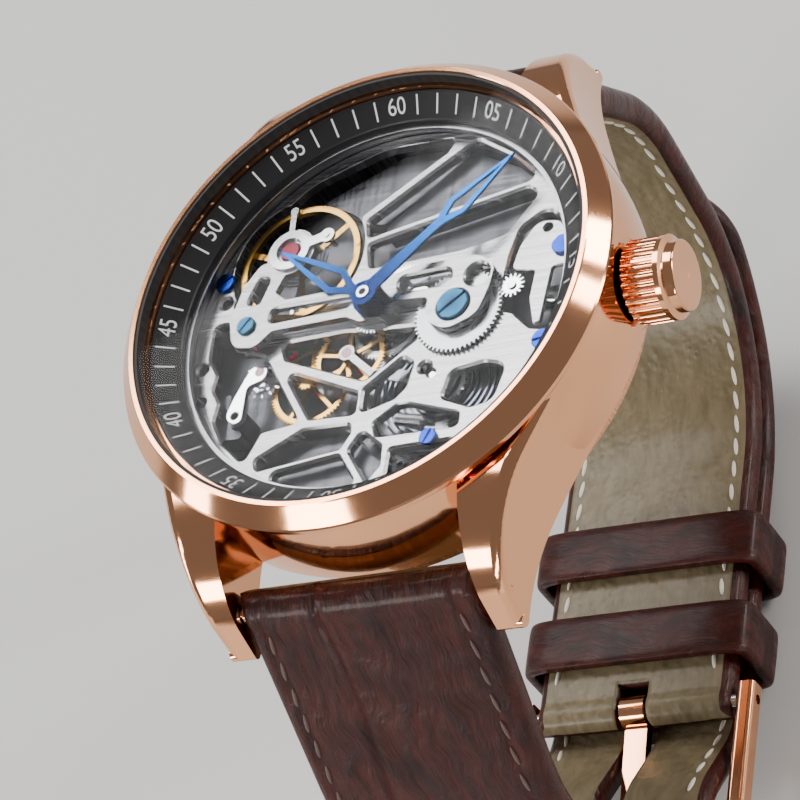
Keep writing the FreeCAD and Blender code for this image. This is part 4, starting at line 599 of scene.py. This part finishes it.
# one stitch: a small long bead, repeated along both edges of a band
def stitches(name, band, start, end, shader, under=False, body="case"):
    turn, tilt = np.meshgrid(np.linspace(0, 2 * math.pi, 9)[:-1], np.linspace(0.12, math.pi - 0.12, 7))
    bead = np.stack([np.sin(tilt) * np.cos(turn) * seam["wide"], np.cos(tilt) * seam["length"],
                     np.sin(tilt) * np.sin(turn) * seam["tall"]], axis=-1)
    rings, around = tilt.shape
    beadPoints = bead.reshape(-1, 3)
    index = np.arange(rings * around).reshape(rings, around)
    beadFaces = [[index[i, j], index[i + 1, j], index[i + 1, (j + 1) % around], index[i, (j + 1) % around]]
                 for i in range(rings - 1) for j in range(around)]
    beadFaces += [index[0].tolist(), index[-1][::-1].tolist()]
    middles = np.arange(start, end, seam["spacing"])
    points, faces = [], []
    for side in (-1, 1):
        sideways = side * (band.half(middles) - seam["inset"])
        place, outward, heading = band.at(middles)
        sign = -1 if under else 1
        height = sign * band.depth(middles)
        if not under:
            height = height + relief(middles, sideways, band.half(middles))
        height = height + sign * seam["proud"]
        spine = band.place(middles, sideways, height)
        out3 = np.concatenate([np.zeros((len(middles), 1)), outward * sign], axis=1)
        head3 = np.concatenate([np.zeros((len(middles), 1)), heading], axis=1)
        side3 = np.array([1.0, 0, 0])
        lean3 = head3 + side3 * seam["lean"] * side
        for i in range(len(middles)):
            base = len(faces) // len(beadFaces) * len(beadPoints)
            handed = side3 if np.cross(lean3[i], out3[i])[0] > 0 else -side3
            across, lengthwise, upward = beadPoints[:, :1], beadPoints[:, 1:2], beadPoints[:, 2:]
            points.append(spine[i] + across * handed + lengthwise * lean3[i] + upward * out3[i])
            faces += [[v + base for v in f] for f in beadFaces]
    return meshObject(name, np.concatenate(points), faces, [shader], body)


strap = {"wide": 9.75 * mm, "narrow": 8.95 * mm, "tipLength": 8.5 * mm, "slotHalf": 1.7 * mm,
         "holeRadius": 0.8 * mm, "holesAt": (1.55, 10.6, 18.0)}


# half the width follows the height above the buckle, as the CAD's taper does
def halfAt(band):
    def width(along):
        place, _, _ = band.at(np.atleast_1d(along))
        share = np.clip((place[:, 1] + 38 * mm) / (39 * mm), 0, 1)
        return strap["narrow"] + (strap["wide"] - strap["narrow"]) * share
    return width


shortCorners = [(22.2, 2.6), (31.8, -14.5), (29.0, -42.0), (-9.0, -42.0)]
longCorners = [(-22.2, 2.6), (-31.8, -14.5), (-29.8, -39.0), (-18.5, -39.6), (-11.0, -44.85),
               (31.57, -44.85), (33.5, -26.0)]


# the strap thickens towards the lugs, where it is folded round the spring bar
def shortThick(along):
    return (2.55 + 0.55 * np.exp(-np.clip(along, 0, None) / (9 * mm))) * mm


def longThick(along):
    return (2.12 + 0.9 * (1 - np.clip((along - 14 * mm) / (14 * mm), 0, 1) ** 2)) * mm


shortBand = Band(shortCorners, [14.0, 17.0], 1, None, shortThick, 1.72 * mm, 1.48 * mm)
shortBand.half = halfAt(shortBand)
longBand = Band(longCorners, [14.0, 9.0, 6.0, 8.0, 19.85], -1, None, longThick, 1.72 * mm, 0.0)
longWidth = halfAt(longBand)


# the tail ends in a rounded point: the width closes almost as an ellipse does over its last stretch
def longHalf(along):
    left = np.clip((longBand.run[-1] - np.atleast_1d(along)) / strap["tipLength"], 0.0, 1.0)
    return longWidth(along) * np.sqrt(np.clip(1 - (1 - left) ** 2.2, 0.0004, 1))


longBand.half = longHalf
print(f"strap laid out: short half {shortBand.run[-1] / mm:.1f} mm, long half {longBand.run[-1] / mm:.1f} mm")


def alongOf(band, y, z):
    gaps = np.hypot(band.line[:, 0] - y * mm, band.line[:, 1] - z * mm)
    return band.run[int(np.argmin(gaps))]


shortEnd, longEnd = shortBand.run[-1], longBand.run[-1]
shortSlot = (shortEnd - 2.4 * mm, shortEnd + 1.46 * mm, strap["slotHalf"])
shortStrap = strapSkin("strap_short_leather", shortBand, shortSlot, [])
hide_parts("strap_short")
longSlot = (alongOf(longBand, -20.6, -39.6), alongOf(longBand, -10.0, -44.85), strap["slotHalf"])
holes = [(alongOf(longBand, y, -44.85), strap["holeRadius"]) for y in strap["holesAt"]]
longStrap = strapSkin("strap_long_leather", longBand, longSlot, holes)
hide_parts("strap_long")
for piece in (
    stitches("stitches_short", shortBand, 2.2 * mm, shortEnd - 3 * mm, threadDark),
    stitches("stitches_long", longBand, 2.2 * mm, longEnd - 9 * mm, threadDark),
    stitches("stitches_short_lining", shortBand, 2.2 * mm, shortEnd - 3 * mm, threadPale, True),
    stitches("stitches_long_lining", longBand, 2.2 * mm, longEnd - 9 * mm, threadPale, True),
):
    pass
print("strap made")


keeperLoop = {"wall": 1.05 * mm, "corner": 0.22, "edge": 0.35}


# a keeper: a closed leather ring, rounded at its corners and along its edges
def keeper(name, node, body):
    low, high = (np.array(c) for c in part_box(node))
    wall = keeperLoop["wall"]
    halfX, midZ, halfZ = (high[0] - low[0]) / 2, (high[2] + low[2]) / 2, (high[2] - low[2]) / 2
    turns = np.linspace(0, 2 * math.pi, 145)[:-1]
    # the middle line of the wall is a box with rounded corners: a superellipse of high power
    lineX = (halfX - wall / 2) * np.sign(np.cos(turns)) * np.abs(np.cos(turns)) ** keeperLoop["corner"]
    lineZ = (halfZ - wall / 2) * np.sign(np.sin(turns)) * np.abs(np.sin(turns)) ** keeperLoop["corner"]
    line = np.stack([lineX, lineZ], axis=1)
    heading = np.roll(line, -1, axis=0) - np.roll(line, 1, axis=0)
    heading /= np.hypot(heading[:, 0], heading[:, 1])[:, None]
    outward = np.stack([heading[:, 1], -heading[:, 0]], axis=1)
    section = np.linspace(0, 2 * math.pi, 25)[:-1]
    widthY = (high[1] - low[1]) / 2
    across = widthY * np.sign(np.cos(section)) * np.abs(np.cos(section)) ** keeperLoop["edge"]
    height = wall / 2 * np.sign(np.sin(section)) * np.abs(np.sin(section)) ** keeperLoop["edge"]
    middleY = (high[1] + low[1]) / 2
    x = line[:, None, 0] + outward[:, None, 0] * height[None]
    z = line[:, None, 1] + outward[:, None, 1] * height[None] + midZ
    y = np.broadcast_to(across[None] + middleY, x.shape)
    points = np.stack([x, y, z], axis=2).reshape(-1, 3)
    index = np.arange(len(points)).reshape(x.shape)
    quads = np.stack([index, np.roll(index, -1, axis=1), np.roll(np.roll(index, -1, axis=0), -1, axis=1),
                      np.roll(index, -1, axis=0)], axis=2)
    made = meshObject(name, points, quads.reshape(-1, 4)[:, ::-1].tolist(), [outerLeather], body)
    layer = made.data.uv_layers.new(name="flat")
    corner = np.empty(len(made.data.loops), dtype=np.int32)
    made.data.loops.foreach_get("vertex_index", corner)
    run = np.concatenate([[0], np.cumsum(np.hypot(*np.diff(line, axis=0).T))])
    flat = np.stack([np.repeat(run, len(section)), np.tile(across, len(run))], axis=1)
    layer.data.foreach_set("uv", flat[corner].ravel())
    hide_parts(node)
    return made


keeper("fixed_keeper_leather", "fixed_keeper", "case")
keeper("free_keeper_leather", "free_keeper", "free_keeper_set")
print("keepers made")

# floor and lights
studio = {"floorReach": 3.0, "worldColour": (0.4, 0.4, 0.41, 1), "worldStrength": 0.6}
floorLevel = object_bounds()[0][2]
floorShader = Shader("floor", (0.62, 0.62, 0.61), 0.0, 0.6)
floorData = bpy.data.meshes.new("floor")
reach = studio["floorReach"]
floorData.from_pydata([(-reach, -reach, floorLevel), (reach, -reach, floorLevel), (reach, reach, floorLevel),
                       (-reach, reach, floorLevel)], [], [(0, 1, 2, 3)])
floorData.materials.append(floorShader.material)
floor = bpy.data.objects.new("floor", floorData)
bpy.context.scene.collection.objects.link(floor)

world = bpy.data.worlds.new("studio")
world.use_nodes = True
world.node_tree.nodes["Background"].inputs["Color"].default_value = studio["worldColour"]
world.node_tree.nodes["Background"].inputs["Strength"].default_value = studio["worldStrength"]
bpy.context.scene.world = world


def softbox(name, place, aim, size, power, colour=(1, 1, 1)):
    light = bpy.data.lights.new(name, "AREA")
    light.shape = "RECTANGLE"
    light.size, light.size_y = size
    light.energy = power
    light.color = colour
    holder = bpy.data.objects.new(name, light)
    away = np.array(place, float) - np.array(aim, float)
    away /= np.linalg.norm(away)
    right = np.cross((0.0, 0.0, 1.0), away)
    right /= np.linalg.norm(right)
    up = np.cross(away, right)
    turn = Matrix(np.stack([right, up, away], axis=1).tolist()).to_4x4()
    turn.translation = place
    holder.matrix_world = turn
    bpy.context.scene.collection.objects.link(holder)


dial = (0, 0, 0.01)
softbox("overhead", (-0.2, 0.3, 0.55), dial, (0.35, 0.3), 3.6)
softbox("left", (-0.55, -0.15, 0.2), dial, (0.1, 0.45), 2.0)
softbox("right", (0.5, 0.15, 0.12), dial, (0.08, 0.3), 1.6, (1.0, 0.95, 0.9))
softbox("front", (0.15, -0.6, 0.1), dial, (0.4, 0.08), 1.5)
softbox("bezel front", (-0.3, -0.5, 0.25), dial, (0.22, 0.16), 2.2, (1.0, 0.96, 0.9))
softbox("bezel right", (0.5, 0.36, 0.22), dial, (0.16, 0.12), 1.6, (1.0, 0.96, 0.9))

# camera: the columns of turn are its right, up and backward directions
shot = {"sensor": 36.0, "lens": 157.5, "place": (0.1212, -0.1391, 0.1919),
        "turn": ((0.876, 0.136, 0.462), (0.138, 0.848, -0.512), (-0.462, 0.512, 0.724))}
view = bpy.data.cameras.new("camera")
view.sensor_width = shot["sensor"]
view.lens = shot["lens"]
view.clip_start, view.clip_end = 0.01, 20.0
camera = bpy.data.objects.new("camera", view)
turn = Matrix(shot["turn"]).to_4x4()
turn.translation = shot["place"]
camera.matrix_world = turn
bpy.context.scene.collection.objects.link(camera)
bpy.context.scene.camera = camera
